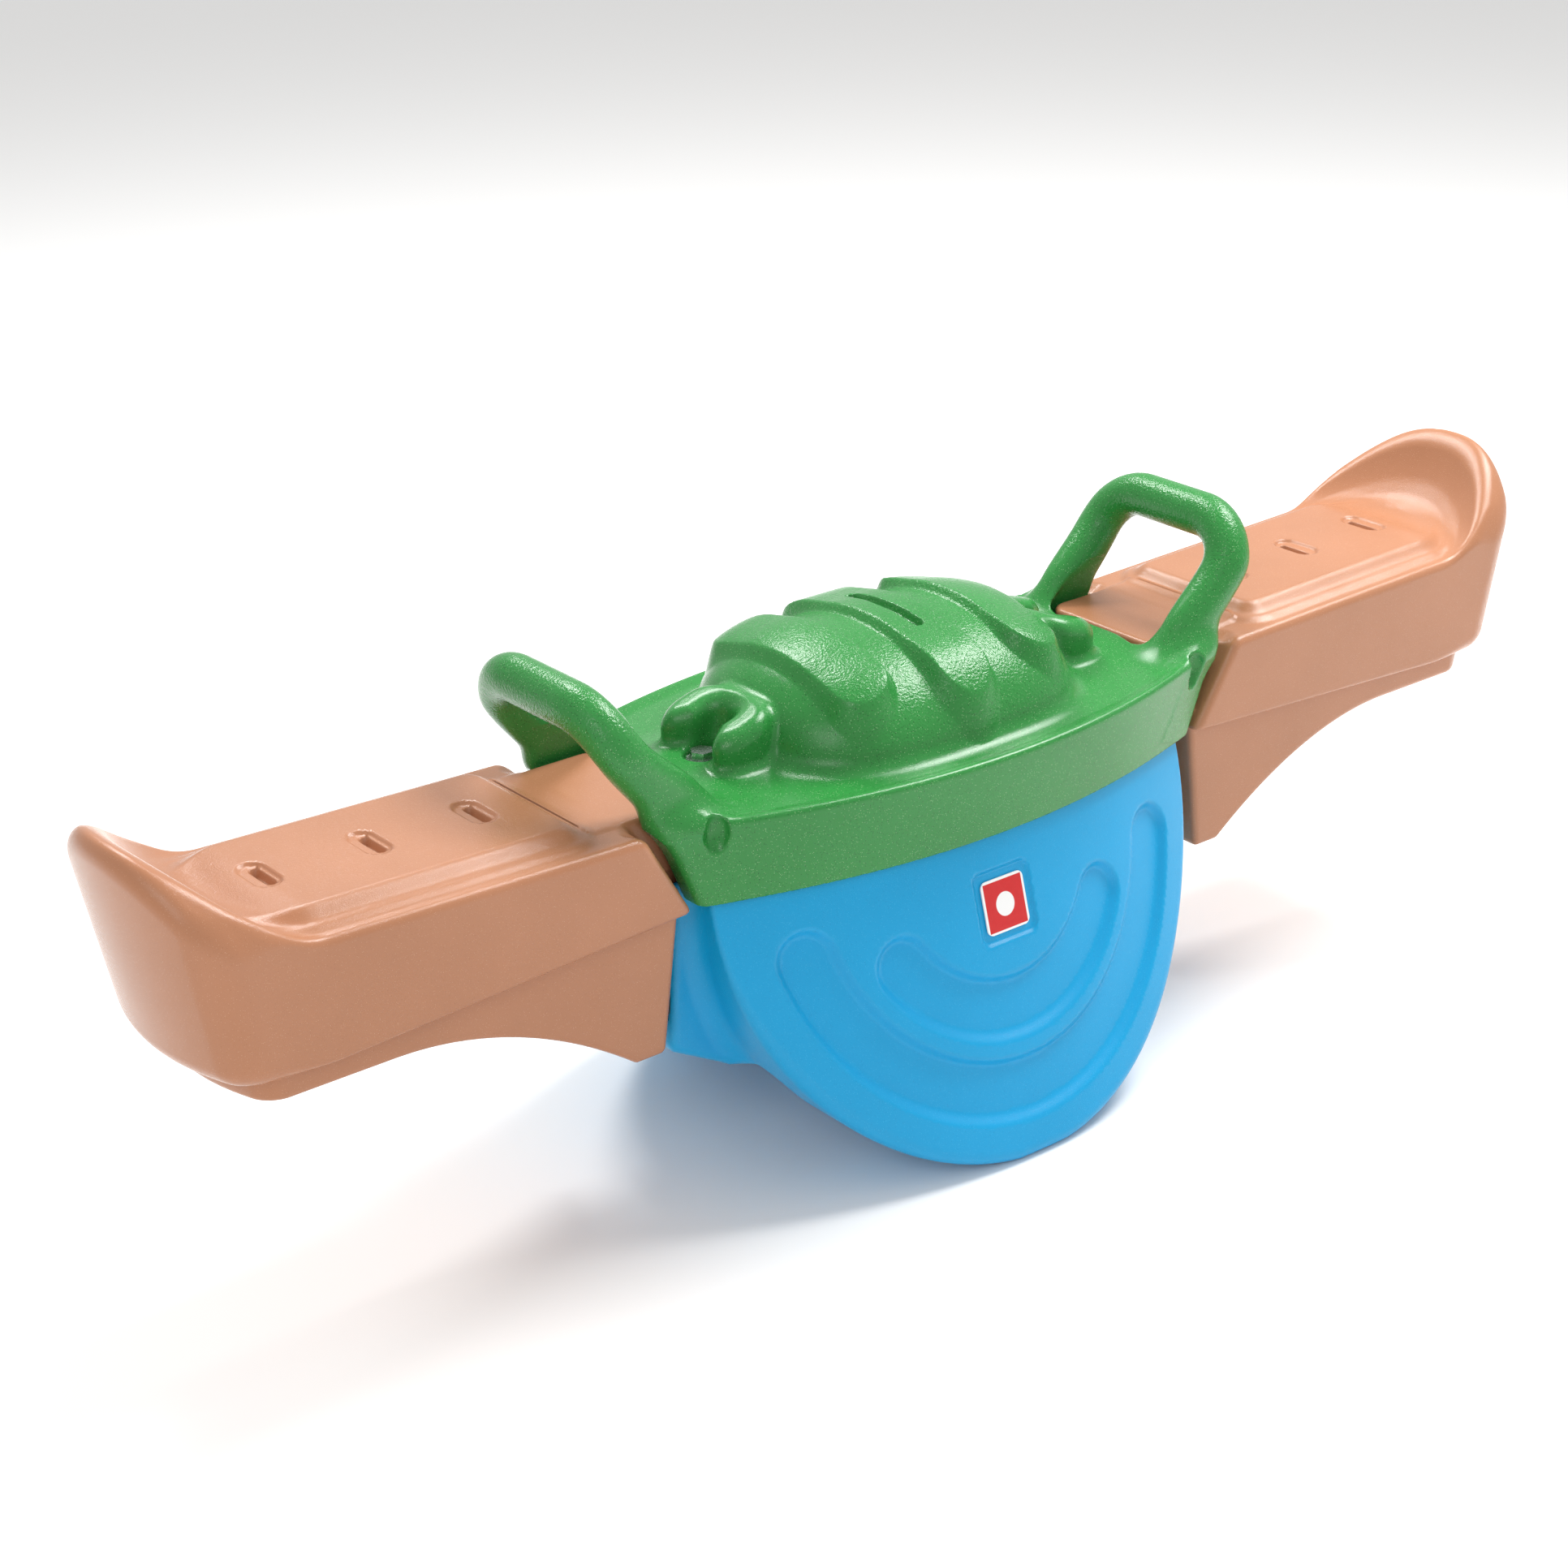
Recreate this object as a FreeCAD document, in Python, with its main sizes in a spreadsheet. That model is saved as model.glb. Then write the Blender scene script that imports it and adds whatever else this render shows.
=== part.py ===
import FreeCAD, Part
import Sketcher
import math
import os

# A child's two-seat rocking seesaw: a rocker base, a bolted-on cover with two grab
# handles, and two seats whose spigots are clamped between base and cover.
# X runs along the seats, Y across them, Z is up, and the origin is the middle of the
# two flats that the base stands on. Lengths are millimetres.

Vector = FreeCAD.Vector
Rotation = FreeCAD.Rotation
Placement = FreeCAD.Placement

SIZES = [
    # for blocks that only cut or limit, and for how far joined solids run into each other
    ("reach", 300),
    ("overlap", 5),
    # rocker base
    ("rocker_radius", 234.6),
    ("rest_flat_half", 24),
    ("base_top", 257),
    ("base_end", 236.8),
    ("face_floor_mid", 193.4),
    ("face_floor_end", 151),
    ("face_top_mid", 123.2),
    ("face_top_end", 81),
    ("base_wall", 5),
    ("tunnel_half", 95),
    ("tunnel_roof", 92),
    ("shoulder_half", 62),
    ("shoulder_end_low", 258),
    ("shoulder_end_high", 250),
    ("shoulder_low", 122),
    ("shoulder_step", 8),
    ("shoulder_chamfer", 22),
    ("shoulder_run", 60),
    ("trough_half", 56),
    ("trough_floor", 148),
    # grooves and emblem on the rocker faces
    ("groove_depth", 2.6),
    ("groove_width", 43),
    ("outer_groove_radius", 178),
    ("outer_groove_angle", 14),
    ("inner_groove_radius", 117),
    ("inner_groove_angle", 33),
    ("emblem_side", 42),
    ("emblem_recess", 54),
    ("emblem_height", 193),
    ("emblem_face", 140.7),
    ("emblem_thick", 1.2),
    ("recess_depth", 2.4),
    ("face_lean", 15.3),
    # cover
    ("cover_wall", 3.5),
    ("skirt_bottom", 247),
    ("skirt_end", 251.6),
    ("skirt_end_half", 87.2),
    ("skirt_mid_half", 132),
    ("deck_height", 316),
    ("deck_end", 274),
    ("deck_end_half", 86),
    ("deck_mid_half", 145.5),
    ("dome_length_half", 170),
    ("dome_width_half", 112),
    ("dome_rise", 72),
    ("band_rise", 4),
    ("band_width", 52),
    ("band_pitch", 84),
    ("bolt_x", 176),
    ("well_radius", 18),
    ("well_floor", 314),
    ("notch_start", 220),
    ("notch_half", 66),
    ("handle_bar", 36),
    ("handle_top_half", 70),
    ("handle_foot_half", 76),
    ("handle_bend", 38),
    ("handle_rise", 177.5),
    ("handle_foot", 49),
    ("handle_start", 223.8),
    ("handle_slant", 26.3),
    ("foot_inset", 18),
    ("foot_drop", 4),
    ("well_rise", 26),
    ("band_inset", 7),
    ("foot_length", 30),
    ("foot_width", 18),
    ("foot_height", 46),
    ("notch_corner", 12),
    ("crown_slot_length", 84),
    ("crown_slot_width", 9),
    ("crown_slot_depth", 4),
    # seats
    ("seat_wall", 3),
    ("seat_half", 92.5),
    ("seat_top", 320),
    ("seat_inner_top", 294),
    ("seat_inner_low", 258),
    ("seat_low_inner", 246),
    ("seat_low_outer", 231),
    ("seat_end_low", 634),
    ("lip_end", 668),
    ("lip_top", 396),
    ("lip_side", 336),
    ("lip_drop", 16),
    ("lip_round", 18),
    ("lip_run", 27),
    ("lip_fall", 5),
    ("back_run", 34),
    ("back_curve", 95),
    ("arch_run", 36),
    ("arch_drop", 34),
    ("arch_flank", 62),
    ("arch_crown", 64),
    ("side_flare", 4),
    ("plan_start", 60),
    ("corner_run", 46),
    ("corner_side", 30),
    ("corner_end", 14),
    ("corner_curve", 34),
    ("end_curve", 146),
    ("beam_half", 78),
    ("beam_end", 608),
    ("beam_low", 133),
    ("beam_mid_low", 207),
    ("beam_foot", 12),
    ("beam_foot_round", 22),
    ("beam_foot_run", 42),
    ("beam_heel_run", 70),
    ("beam_heel_rise", 17),
    ("beam_arch_run", 130),
    ("beam_arch", 240),
    ("beam_corner", 18),
    ("beam_joint", 20),
    ("beam_foot_up", 3),
    ("beam_foot_dip", 1),
    ("beam_heel_inset", 1.2),
    ("beam_toe_drop", 4),
    ("beam_corner_rise", 14),
    ("beam_joint_run", 8),
    ("spigot_half", 54),
    ("spigot_start", 146),
    ("spigot_top", 310),
    ("spigot_low", 150),
    ("tongue_half", 62),
    ("tongue_start", 229),
    ("tongue_top", 319),
    ("tongue_depth", 30),
    ("pad_start", 327),
    ("pad_end", 615),
    ("pad_half", 71),
    ("pad_top", 340),
    ("pad_corner", 10),
    ("pad_round_run", 58),
    ("pad_round", 74),
    ("slot_first", 375),
    ("slot_pitch", 85),
    ("slot_length", 40),
    ("slot_width", 19),
    ("slot_depth", 3),
    # hardware
    ("bolt_size", 10),
    ("bolt_hole", 11),
    ("post_radius", 13),
    ("bolt_head_flats", 16),
    ("bolt_head_height", 6.4),
    ("bolt_end", 76),
    ("washer_size", 24),
    ("washer_thick", 2),
    ("nut_height", 9),
    ("screw_size", 6),
    ("screw_hole", 6.6),
    ("screw_boss", 19),
    ("screw_x", 165),
    ("screw_y", 34),
    ("screw_head", 13),
    ("screw_head_height", 4),
    ("screw_length", 74),
]

doc = FreeCAD.newDocument("Seesaw")
sheet = doc.addObject("Spreadsheet::Sheet", "Sizes")
for row, (alias, value) in enumerate(SIZES, start=1):
    sheet.set("A%d" % row, alias)
    sheet.set("B%d" % row, str(value))
    sheet.setAlias("B%d" % row, alias)
doc.recompute()

# What repeats at both ends and on both long sides, with the sign of its X or its Y.
SIDES = (("Left", "-"), ("Right", ""))
FLANKS = (("Front", "-"), ("Rear", ""))

# Planes for the sketches: the first name is the sketch's own X, the second its own Y.
PLANE_XY = Rotation()
PLANE_XZ = Rotation(Vector(1, 0, 0), 90)
PLANE_YZ = Rotation(Vector(1, 1, 1), 120)


def number(expression):
    """The value that an expression on the sheet has now."""
    value = probe.evalExpression(expression)
    return float(getattr(value, "Value", value))


probe = doc.addObject("App::FeaturePython", "Probe")


def bind(thing, **expressions):
    """Tie properties to the sheet; Width='...' sets Width, Placement_Base_x its part."""
    for name, expression in expressions.items():
        thing.setExpression(name.replace("_", "."), expression)
    return thing


def draw_outline(outline, points, closed=True):
    """Draw lines and arcs through points (x, y) or (x, y, radius) in a sketch.

    The radius belongs to the stretch that leads to the point; a positive one turns
    left and a negative one turns right. Every value is an expression on the sheet.
    """
    spots = [Vector(number(p[0]), number(p[1]), 0) for p in points]
    ends = []
    first = 0 if closed else 1
    for index in range(first, len(points)):
        start, stop = spots[index - 1], spots[index]
        if len(points[index]) == 2:
            segment = outline.addGeometry(Part.LineSegment(start, stop), False)
            ends.append((segment, 1, 2, index))
            continue
        radius = number(points[index][2])
        chord = stop - start
        rise = math.sqrt(radius ** 2 - (chord.Length / 2) ** 2)
        across = Vector(-chord.y, chord.x, 0).normalize()
        centre = (start + stop) * 0.5 + across * math.copysign(rise, radius)
        low, high = (start, stop) if radius > 0 else (stop, start)
        circle = Part.Circle(centre, Vector(0, 0, 1), abs(radius))
        arc = Part.ArcOfCircle(circle, circle.parameter(low), circle.parameter(high))
        segment = outline.addGeometry(arc, False)
        ends.append((segment, 1, 2, index) if radius > 0 else (segment, 2, 1, index))
        size = outline.addConstraint(Sketcher.Constraint("Radius", segment, abs(radius)))
        outline.setExpression("Constraints[%d]" % size, "abs(%s)" % points[index][2])
    for place in range(len(ends) if closed else len(ends) - 1):
        segment, _, tail, _ = ends[place]
        following, head, _, _ = ends[(place + 1) % len(ends)]
        outline.addConstraint(Sketcher.Constraint("Coincident", segment, tail, following, head))
    pins = [(segment, tail, index) for segment, _, tail, index in ends]
    if not closed:
        pins.append((ends[0][0], ends[0][1], 0))
    for segment, corner, index in pins:
        for kind, axis, expression, value in (
                ("DistanceX", -2, points[index][0], spots[index].x),
                ("DistanceY", -1, points[index][1], spots[index].y)):
            if abs(value) < 1e-9:
                outline.addConstraint(Sketcher.Constraint("PointOnObject", segment, corner, axis))
                continue
            pin = outline.addConstraint(Sketcher.Constraint(kind, -1, 1, segment, corner, value))
            outline.setExpression("Constraints[%d]" % pin, expression)


def new_outline(name, plane, points, base=Vector(), closed=True):
    outline = doc.addObject("Sketcher::SketchObject", name)
    outline.Placement = Placement(base, plane)
    draw_outline(outline, points, closed)
    return outline


def extrude(name, outline, ahead, behind="0", direction=None):
    """A prism on an outline, along its normal or along a given direction."""
    prism = doc.addObject("Part::Extrusion", name)
    prism.Base = outline
    prism.Solid = True
    if direction is None:
        prism.DirMode = "Normal"
    else:
        prism.DirMode = "Custom"
        prism.Dir = direction
    bind(prism, LengthFwd=ahead, LengthRev=behind)
    return prism


def fuse(name, *shapes):
    joined = doc.addObject("Part::MultiFuse", name)
    joined.Shapes = list(shapes)
    return joined


def common(name, *shapes):
    shared = doc.addObject("Part::MultiCommon", name)
    shared.Shapes = list(shapes)
    return shared


def cut(name, base, tool):
    result = doc.addObject("Part::Cut", name)
    result.Base = base
    result.Tool = tool
    return result


def mirror(name, source, normal):
    image = doc.addObject("Part::Mirroring", name)
    image.Source = source
    image.Normal = normal
    return image


def block(name, length, width, height, x, y, z):
    """A box whose lowest corner is at x, y, z."""
    box = doc.addObject("Part::Box", name)
    bind(box, Length=length, Width=width, Height=height,
         Placement_Base_x=x, Placement_Base_y=y, Placement_Base_z=z)
    return box


def post(name, radius, height, x, y, z):
    """An upright cylinder that starts at x, y, z."""
    cylinder = doc.addObject("Part::Cylinder", name)
    bind(cylinder, Radius=radius, Height=height,
         Placement_Base_x=x, Placement_Base_y=y, Placement_Base_z=z)
    return cylinder


def loft(name, *outlines):
    body = doc.addObject("Part::Loft", name)
    body.Sections = list(outlines)
    body.Solid = True
    body.Ruled = True
    return body


def lens_outline(name, height, end, end_half, mid_half):
    """A plan outline with two bowed long sides and straight ends."""
    rise = "((%s) - (%s))" % (mid_half, end_half)
    bow = "((%s)^2 + %s^2) / (2 * %s)" % (end, rise, rise)
    outline = doc.addObject("Sketcher::SketchObject", name)
    draw_outline(outline, [
        ("-(%s)" % end, "-(%s)" % end_half),
        (end, "-(%s)" % end_half, bow),
        (end, end_half),
        ("-(%s)" % end, end_half, bow),
    ])
    bind(outline, Placement_Base_z=height)
    return outline


def lens_loft(name, inset, low, high):
    """A block between two lens outlines, all its walls moved in by inset."""
    sections = []
    for level, (height, end, end_half, mid_half) in (("Low", low), ("High", high)):
        sections.append(lens_outline(
            name + level, height, "%s - %s" % (end, inset),
            "%s - %s" % (end_half, inset), "%s - %s" % (mid_half, inset)))
    return loft(name, *sections)


# ---------------------------------------------------------------- rocker base

BASE_LOW = ("0", "Sizes.base_end", "Sizes.face_floor_end", "Sizes.face_floor_mid")
BASE_HIGH = ("Sizes.base_top", "Sizes.base_end", "Sizes.face_top_end", "Sizes.face_top_mid")
BASE_POST = "(Sizes.trough_floor - Sizes.tunnel_roof)"
ROCKER_AXIS = "sqrt(Sizes.rocker_radius^2 - Sizes.rest_flat_half^2)"


def rocker_drum(name, inset):
    """The round of the rocker, with its axis along Y."""
    drum = doc.addObject("Part::Cylinder", name)
    drum.Placement.Rotation = Rotation(Vector(1, 0, 0), 90)
    bind(drum, Radius="Sizes.rocker_radius - %s" % inset, Height="2 * Sizes.reach",
         Placement_Base_y="Sizes.reach", Placement_Base_z=ROCKER_AXIS)
    return drum


def groove_band(name, radius, angle):
    """An arc-shaped slot around the rocker's axis, whose ends stop angle below it."""
    half = "Sizes.groove_width / 2"
    outer = "(%s + %s)" % (radius, half)
    inner = "(%s - %s)" % (radius, half)
    spot = "%%s * cos(%s * 1 deg)" % angle
    level = "%s - %%s * sin(%s * 1 deg)" % (ROCKER_AXIS, angle)
    cap = "%s * 1.01" % half
    outline = new_outline(name + "Outline", PLANE_XZ, [
        ("-" + spot % outer, level % outer, cap),
        (spot % outer, level % outer, outer),
        (spot % inner, level % inner, cap),
        ("-" + spot % inner, level % inner, "-" + inner),
    ])
    return extrude(name, outline, "Sizes.reach", "Sizes.reach")


def make_rocker_base():
    body = common("BaseRound", lens_loft("BaseLens", "0", BASE_LOW, BASE_HIGH), rocker_drum("BaseDrum", "0"))
    tunnel = block("Tunnel", "2 * Sizes.reach", "2 * Sizes.tunnel_half", "Sizes.tunnel_roof + Sizes.overlap",
                   "-Sizes.reach", "-Sizes.tunnel_half", "-Sizes.overlap")
    shoulder_outline = new_outline("ShoulderOutline", PLANE_XZ, [
        ("-Sizes.shoulder_end_low", "Sizes.shoulder_low"),
        ("-Sizes.shoulder_end_low + Sizes.shoulder_chamfer", "Sizes.tunnel_roof + Sizes.shoulder_step"),
        ("-Sizes.shoulder_end_low + Sizes.shoulder_run", "Sizes.tunnel_roof"),
        ("Sizes.shoulder_end_low - Sizes.shoulder_run", "Sizes.tunnel_roof"),
        ("Sizes.shoulder_end_low - Sizes.shoulder_chamfer", "Sizes.tunnel_roof + Sizes.shoulder_step"),
        ("Sizes.shoulder_end_low", "Sizes.shoulder_low"),
        ("Sizes.shoulder_end_high", "Sizes.base_top"),
        ("-Sizes.shoulder_end_high", "Sizes.base_top"),
    ])
    shoulder = extrude("Shoulder", shoulder_outline, "Sizes.shoulder_half", "Sizes.shoulder_half")
    trough = block("Trough", "2 * Sizes.reach", "2 * Sizes.trough_half", "Sizes.reach",
                   "-Sizes.reach", "-Sizes.trough_half", "Sizes.trough_floor")
    outside = cut("BaseOutside", fuse("BaseSolid", cut("BaseFlanges", body, tunnel), shoulder), trough)

    # The moulding is hollow: the cavity keeps one wall away from every outer face.
    wall = "Sizes.base_wall"
    core = common("CavityRound",
                  lens_loft("CavityLens", wall,
                            ("Sizes.base_wall",) + BASE_LOW[1:],
                            ("Sizes.base_top - Sizes.base_wall",) + BASE_HIGH[1:]),
                  rocker_drum("CavityDrum", wall))
    solid_parts = fuse(
        "CavityKeepers",
        block("TunnelKeeper", "2 * Sizes.reach", "2 * (Sizes.tunnel_half + Sizes.base_wall)",
              "Sizes.tunnel_roof + Sizes.base_wall + Sizes.overlap",
              "-Sizes.reach", "-Sizes.tunnel_half - Sizes.base_wall", "-Sizes.overlap"),
        block("TroughKeeper", "2 * Sizes.reach", "2 * (Sizes.trough_half + Sizes.base_wall)", "Sizes.reach",
              "-Sizes.reach", "-Sizes.trough_half - Sizes.base_wall", "Sizes.trough_floor - Sizes.base_wall"),
        *[post("BoltKeeper" + side, "Sizes.post_radius", BASE_POST, "%sSizes.bolt_x" % sign, "0",
               "Sizes.tunnel_roof")
          for side, sign in SIDES],
        *[post("ScrewKeeper" + side + flank, "Sizes.screw_boss / 2", BASE_POST,
               "%sSizes.screw_x" % sign, "%sSizes.screw_y" % flank_sign, "Sizes.tunnel_roof")
          for side, sign in SIDES for flank, flank_sign in FLANKS])
    hollow = cut("BaseHollow", outside, cut("BaseCavity", core, solid_parts))

    # Grooves and the emblem recess are shallow, so they follow the bowed, leaning faces.
    skin = cut("FaceSkin", lens_loft("SkinOuter", "-Sizes.overlap", BASE_LOW, BASE_HIGH),
               lens_loft("SkinInner", "Sizes.groove_depth", BASE_LOW, BASE_HIGH))
    grooves = common("Grooves", skin, fuse("GrooveBands",
                                           groove_band("OuterGroove", "Sizes.outer_groove_radius",
                                                       "Sizes.outer_groove_angle"),
                                           groove_band("InnerGroove", "Sizes.inner_groove_radius",
                                                       "Sizes.inner_groove_angle")))
    holes = [post("BaseHole" + side, "Sizes.bolt_hole / 2", BASE_POST + " + 2 * Sizes.overlap",
                  "%sSizes.bolt_x" % sign, "0", "Sizes.tunnel_roof - Sizes.overlap")
             for side, sign in SIDES]
    holes += [post("BaseScrewHole" + side + flank, "Sizes.screw_hole / 2", BASE_POST + " + 2 * Sizes.overlap",
                   "%sSizes.screw_x" % sign, "%sSizes.screw_y" % flank_sign,
                   "Sizes.tunnel_roof - Sizes.overlap")
              for side, sign in SIDES for flank, flank_sign in FLANKS]
    front = emblem_block("RecessFront", "Sizes.emblem_recess", "Sizes.recess_depth + 2 * Sizes.overlap")
    rear = mirror("RecessRear", front, Vector(0, 1, 0))
    return cut("rocker_base", hollow, fuse("BaseCuts", grooves, front, rear, *holes))


def emblem_block(name, side, depth):
    """A rounded square block that rises by depth from the floor of the front recess."""
    half = "%s / 2" % side
    corner = "%s / 8" % side
    flat = "(%s - %s)" % (half, corner)
    lean = Rotation(Vector(1, 0, 0), 90 - number("Sizes.face_lean"))
    outline = new_outline(name + "Outline", lean, [
        ("-%s" % flat, "-%s" % half, corner),
        (flat, "-%s" % half),
        (half, "-%s" % flat, corner),
        (half, flat),
        (flat, half, corner),
        ("-%s" % flat, half),
        ("-%s" % half, flat, corner),
        ("-%s" % half, "-%s" % flat),
    ])
    bind(outline,
         Placement_Rotation_Angle="90 deg - Sizes.face_lean * 1 deg",
         Placement_Base_y="-Sizes.emblem_face + Sizes.recess_depth * cos(Sizes.face_lean * 1 deg)",
         Placement_Base_z="Sizes.emblem_height - Sizes.recess_depth * sin(Sizes.face_lean * 1 deg)")
    return extrude(name, outline, depth)


# ---------------------------------------------------------------- cover

SKIRT_LOW = ("Sizes.skirt_bottom", "Sizes.skirt_end", "Sizes.skirt_end_half", "Sizes.skirt_mid_half")
SKIRT_HIGH = ("Sizes.deck_height", "Sizes.deck_end", "Sizes.deck_end_half", "Sizes.deck_mid_half")


def dome(name, grow):
    """The ellipsoid of the crown, larger by grow all round."""
    crown = doc.addObject("Part::Ellipsoid", name)
    bind(crown, Radius1="Sizes.dome_rise + %s" % grow, Radius2="Sizes.dome_length_half + %s" % grow,
         Radius3="Sizes.dome_width_half + %s" % grow, Placement_Base_z="Sizes.deck_height")
    upper = block(name + "Upper", "2 * Sizes.reach", "2 * Sizes.reach", "Sizes.reach",
                  "-Sizes.reach", "-Sizes.reach", "Sizes.deck_height - Sizes.overlap")
    return common(name + "Half", crown, upper)


def handle(side, turn):
    """A grab loop in a leaning plane; its legs run down inside the cover's end wall."""
    slant = Rotation(Vector(0, 1, 0), number("Sizes.handle_slant")) * PLANE_YZ
    lean_in = "(Sizes.handle_foot_half - Sizes.handle_top_half)"
    leg = "(Sizes.handle_rise - Sizes.handle_foot)"
    angle = "atan(%s / %s)" % (leg, lean_in)
    reach = "Sizes.handle_bend * tan(%s / 2)" % angle
    side_spot = "Sizes.handle_top_half + %s * cos(%s)" % (reach, angle)
    side_level = "Sizes.handle_rise - %s * sin(%s)" % (reach, angle)
    top_spot = "Sizes.handle_top_half - %s" % reach
    path = new_outline("HandlePath" + side, slant, [
        ("Sizes.handle_foot_half", "Sizes.handle_foot"),
        (side_spot, side_level),
        (top_spot, "Sizes.handle_rise", "Sizes.handle_bend"),
        ("-(%s)" % top_spot, "Sizes.handle_rise"),
        ("-(%s)" % side_spot, side_level, "Sizes.handle_bend"),
        ("-Sizes.handle_foot_half", "Sizes.handle_foot"),
    ], closed=False)
    bind(path, Placement_Base_x="Sizes.handle_start", Placement_Base_z="Sizes.skirt_bottom")
    section = doc.addObject("Sketcher::SketchObject", "HandleSection" + side)
    section.addGeometry(Part.Circle(Vector(), Vector(0, 0, 1), number("Sizes.handle_bar / 2")), False)
    section.addConstraint(Sketcher.Constraint("Coincident", 0, 3, -1, 1))
    section.addConstraint(Sketcher.Constraint("Radius", 0, number("Sizes.handle_bar / 2")))
    section.setExpression("Constraints[1]", "Sizes.handle_bar / 2")
    doc.recompute()
    section.AttachmentSupport = [(path, "Edge1")]
    section.MapMode = "NormalToEdge"
    doc.recompute()
    loop = doc.addObject("Part::Sweep", "HandleLoop" + side)
    loop.Sections = [section]
    loop.Spine = (path, ["Edge%d" % (place + 1) for place in range(5)])
    loop.Solid = True
    return mirror("Handle" + side, loop, Vector(1, 0, 0)) if turn else loop


def make_top_cover():
    shell = lens_loft("SkirtOuter", "0", SKIRT_LOW, SKIRT_HIGH)
    crown = dome("Crown", "0")
    bands = []
    for name, step in (("BandLeft", "-Sizes.band_pitch"),
                       ("BandMiddle", "0"),
                       ("BandRight", "Sizes.band_pitch")):
        slab = block(name + "Slab", "Sizes.band_width", "2 * (Sizes.dome_width_half - Sizes.band_inset)",
                     "Sizes.reach", "%s - Sizes.band_width / 2" % step,
                     "-Sizes.dome_width_half + Sizes.band_inset", "Sizes.deck_height - Sizes.overlap")
        bands.append(common(name, dome(name + "Dome", "Sizes.band_rise"), slab))
    wells = [post("WellWall" + side, "Sizes.well_radius + Sizes.cover_wall",
                  "Sizes.deck_height + Sizes.well_rise - Sizes.spigot_top",
                  "%sSizes.bolt_x" % sign, "0", "Sizes.spigot_top")
             for side, sign in SIDES]
    inner = fuse("CoverCavity",
                 lens_loft("SkirtInner", "Sizes.cover_wall", SKIRT_LOW,
                           ("Sizes.deck_height - Sizes.cover_wall",) + SKIRT_HIGH[1:]),
                 dome("CrownInner", "-Sizes.cover_wall"))
    skin = cut("CoverSkin", fuse("CoverOuter", shell, crown, *bands), inner)
    loops = [handle("Right", False), handle("Left", True)]
    feet = []
    for flank, flank_sign in FLANKS:
        foot = block("FootRight" + flank, "Sizes.foot_length", "Sizes.foot_width", "Sizes.foot_height",
                     "Sizes.deck_end - Sizes.foot_inset - Sizes.foot_length",
                     "%sSizes.handle_foot_half - Sizes.foot_width / 2" % flank_sign,
                     "Sizes.deck_height - Sizes.foot_drop - Sizes.foot_height")
        feet += [foot, mirror("FootLeft" + flank, foot, Vector(1, 0, 0))]
    whole = fuse("CoverWhole", skin, *(wells + loops + feet))
    cuts = []
    for side, sign in SIDES:
        cuts.append(post("WellBore" + side, "Sizes.well_radius", "Sizes.reach", "%sSizes.bolt_x" % sign, "0",
                         "Sizes.well_floor"))
        cuts.append(post("CoverHole" + side, "Sizes.bolt_hole / 2",
                         "Sizes.well_floor + 2 * Sizes.overlap - Sizes.spigot_top",
                         "%sSizes.bolt_x" % sign, "0", "Sizes.spigot_top - Sizes.overlap"))
    notch_outline = new_outline("NotchOutline", PLANE_XY, [
        ("Sizes.notch_start", "-Sizes.notch_half + Sizes.notch_corner"),
        ("Sizes.notch_start + Sizes.notch_corner", "-Sizes.notch_half", "Sizes.notch_corner * 1.01"),
        ("Sizes.reach", "-Sizes.notch_half"),
        ("Sizes.reach", "Sizes.notch_half"),
        ("Sizes.notch_start + Sizes.notch_corner", "Sizes.notch_half"),
        ("Sizes.notch_start", "Sizes.notch_half - Sizes.notch_corner", "Sizes.notch_corner * 1.01"),
    ])
    bind(notch_outline, Placement_Base_z="Sizes.skirt_bottom - Sizes.overlap")
    notch = extrude("NotchRight", notch_outline, "Sizes.deck_height + 2 * Sizes.overlap - Sizes.skirt_bottom")
    cuts += [notch, mirror("NotchLeft", notch, Vector(1, 0, 0))]
    cuts.append(block("CrownSlot", "Sizes.crown_slot_width", "Sizes.crown_slot_length", "Sizes.reach",
                      "-Sizes.crown_slot_width / 2", "-Sizes.crown_slot_length / 2",
                      "Sizes.deck_height + Sizes.dome_rise + Sizes.band_rise - Sizes.crown_slot_depth"))
    return cut("top_cover", whole, fuse("CoverCuts", *cuts))


# ---------------------------------------------------------------- seats

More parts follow.
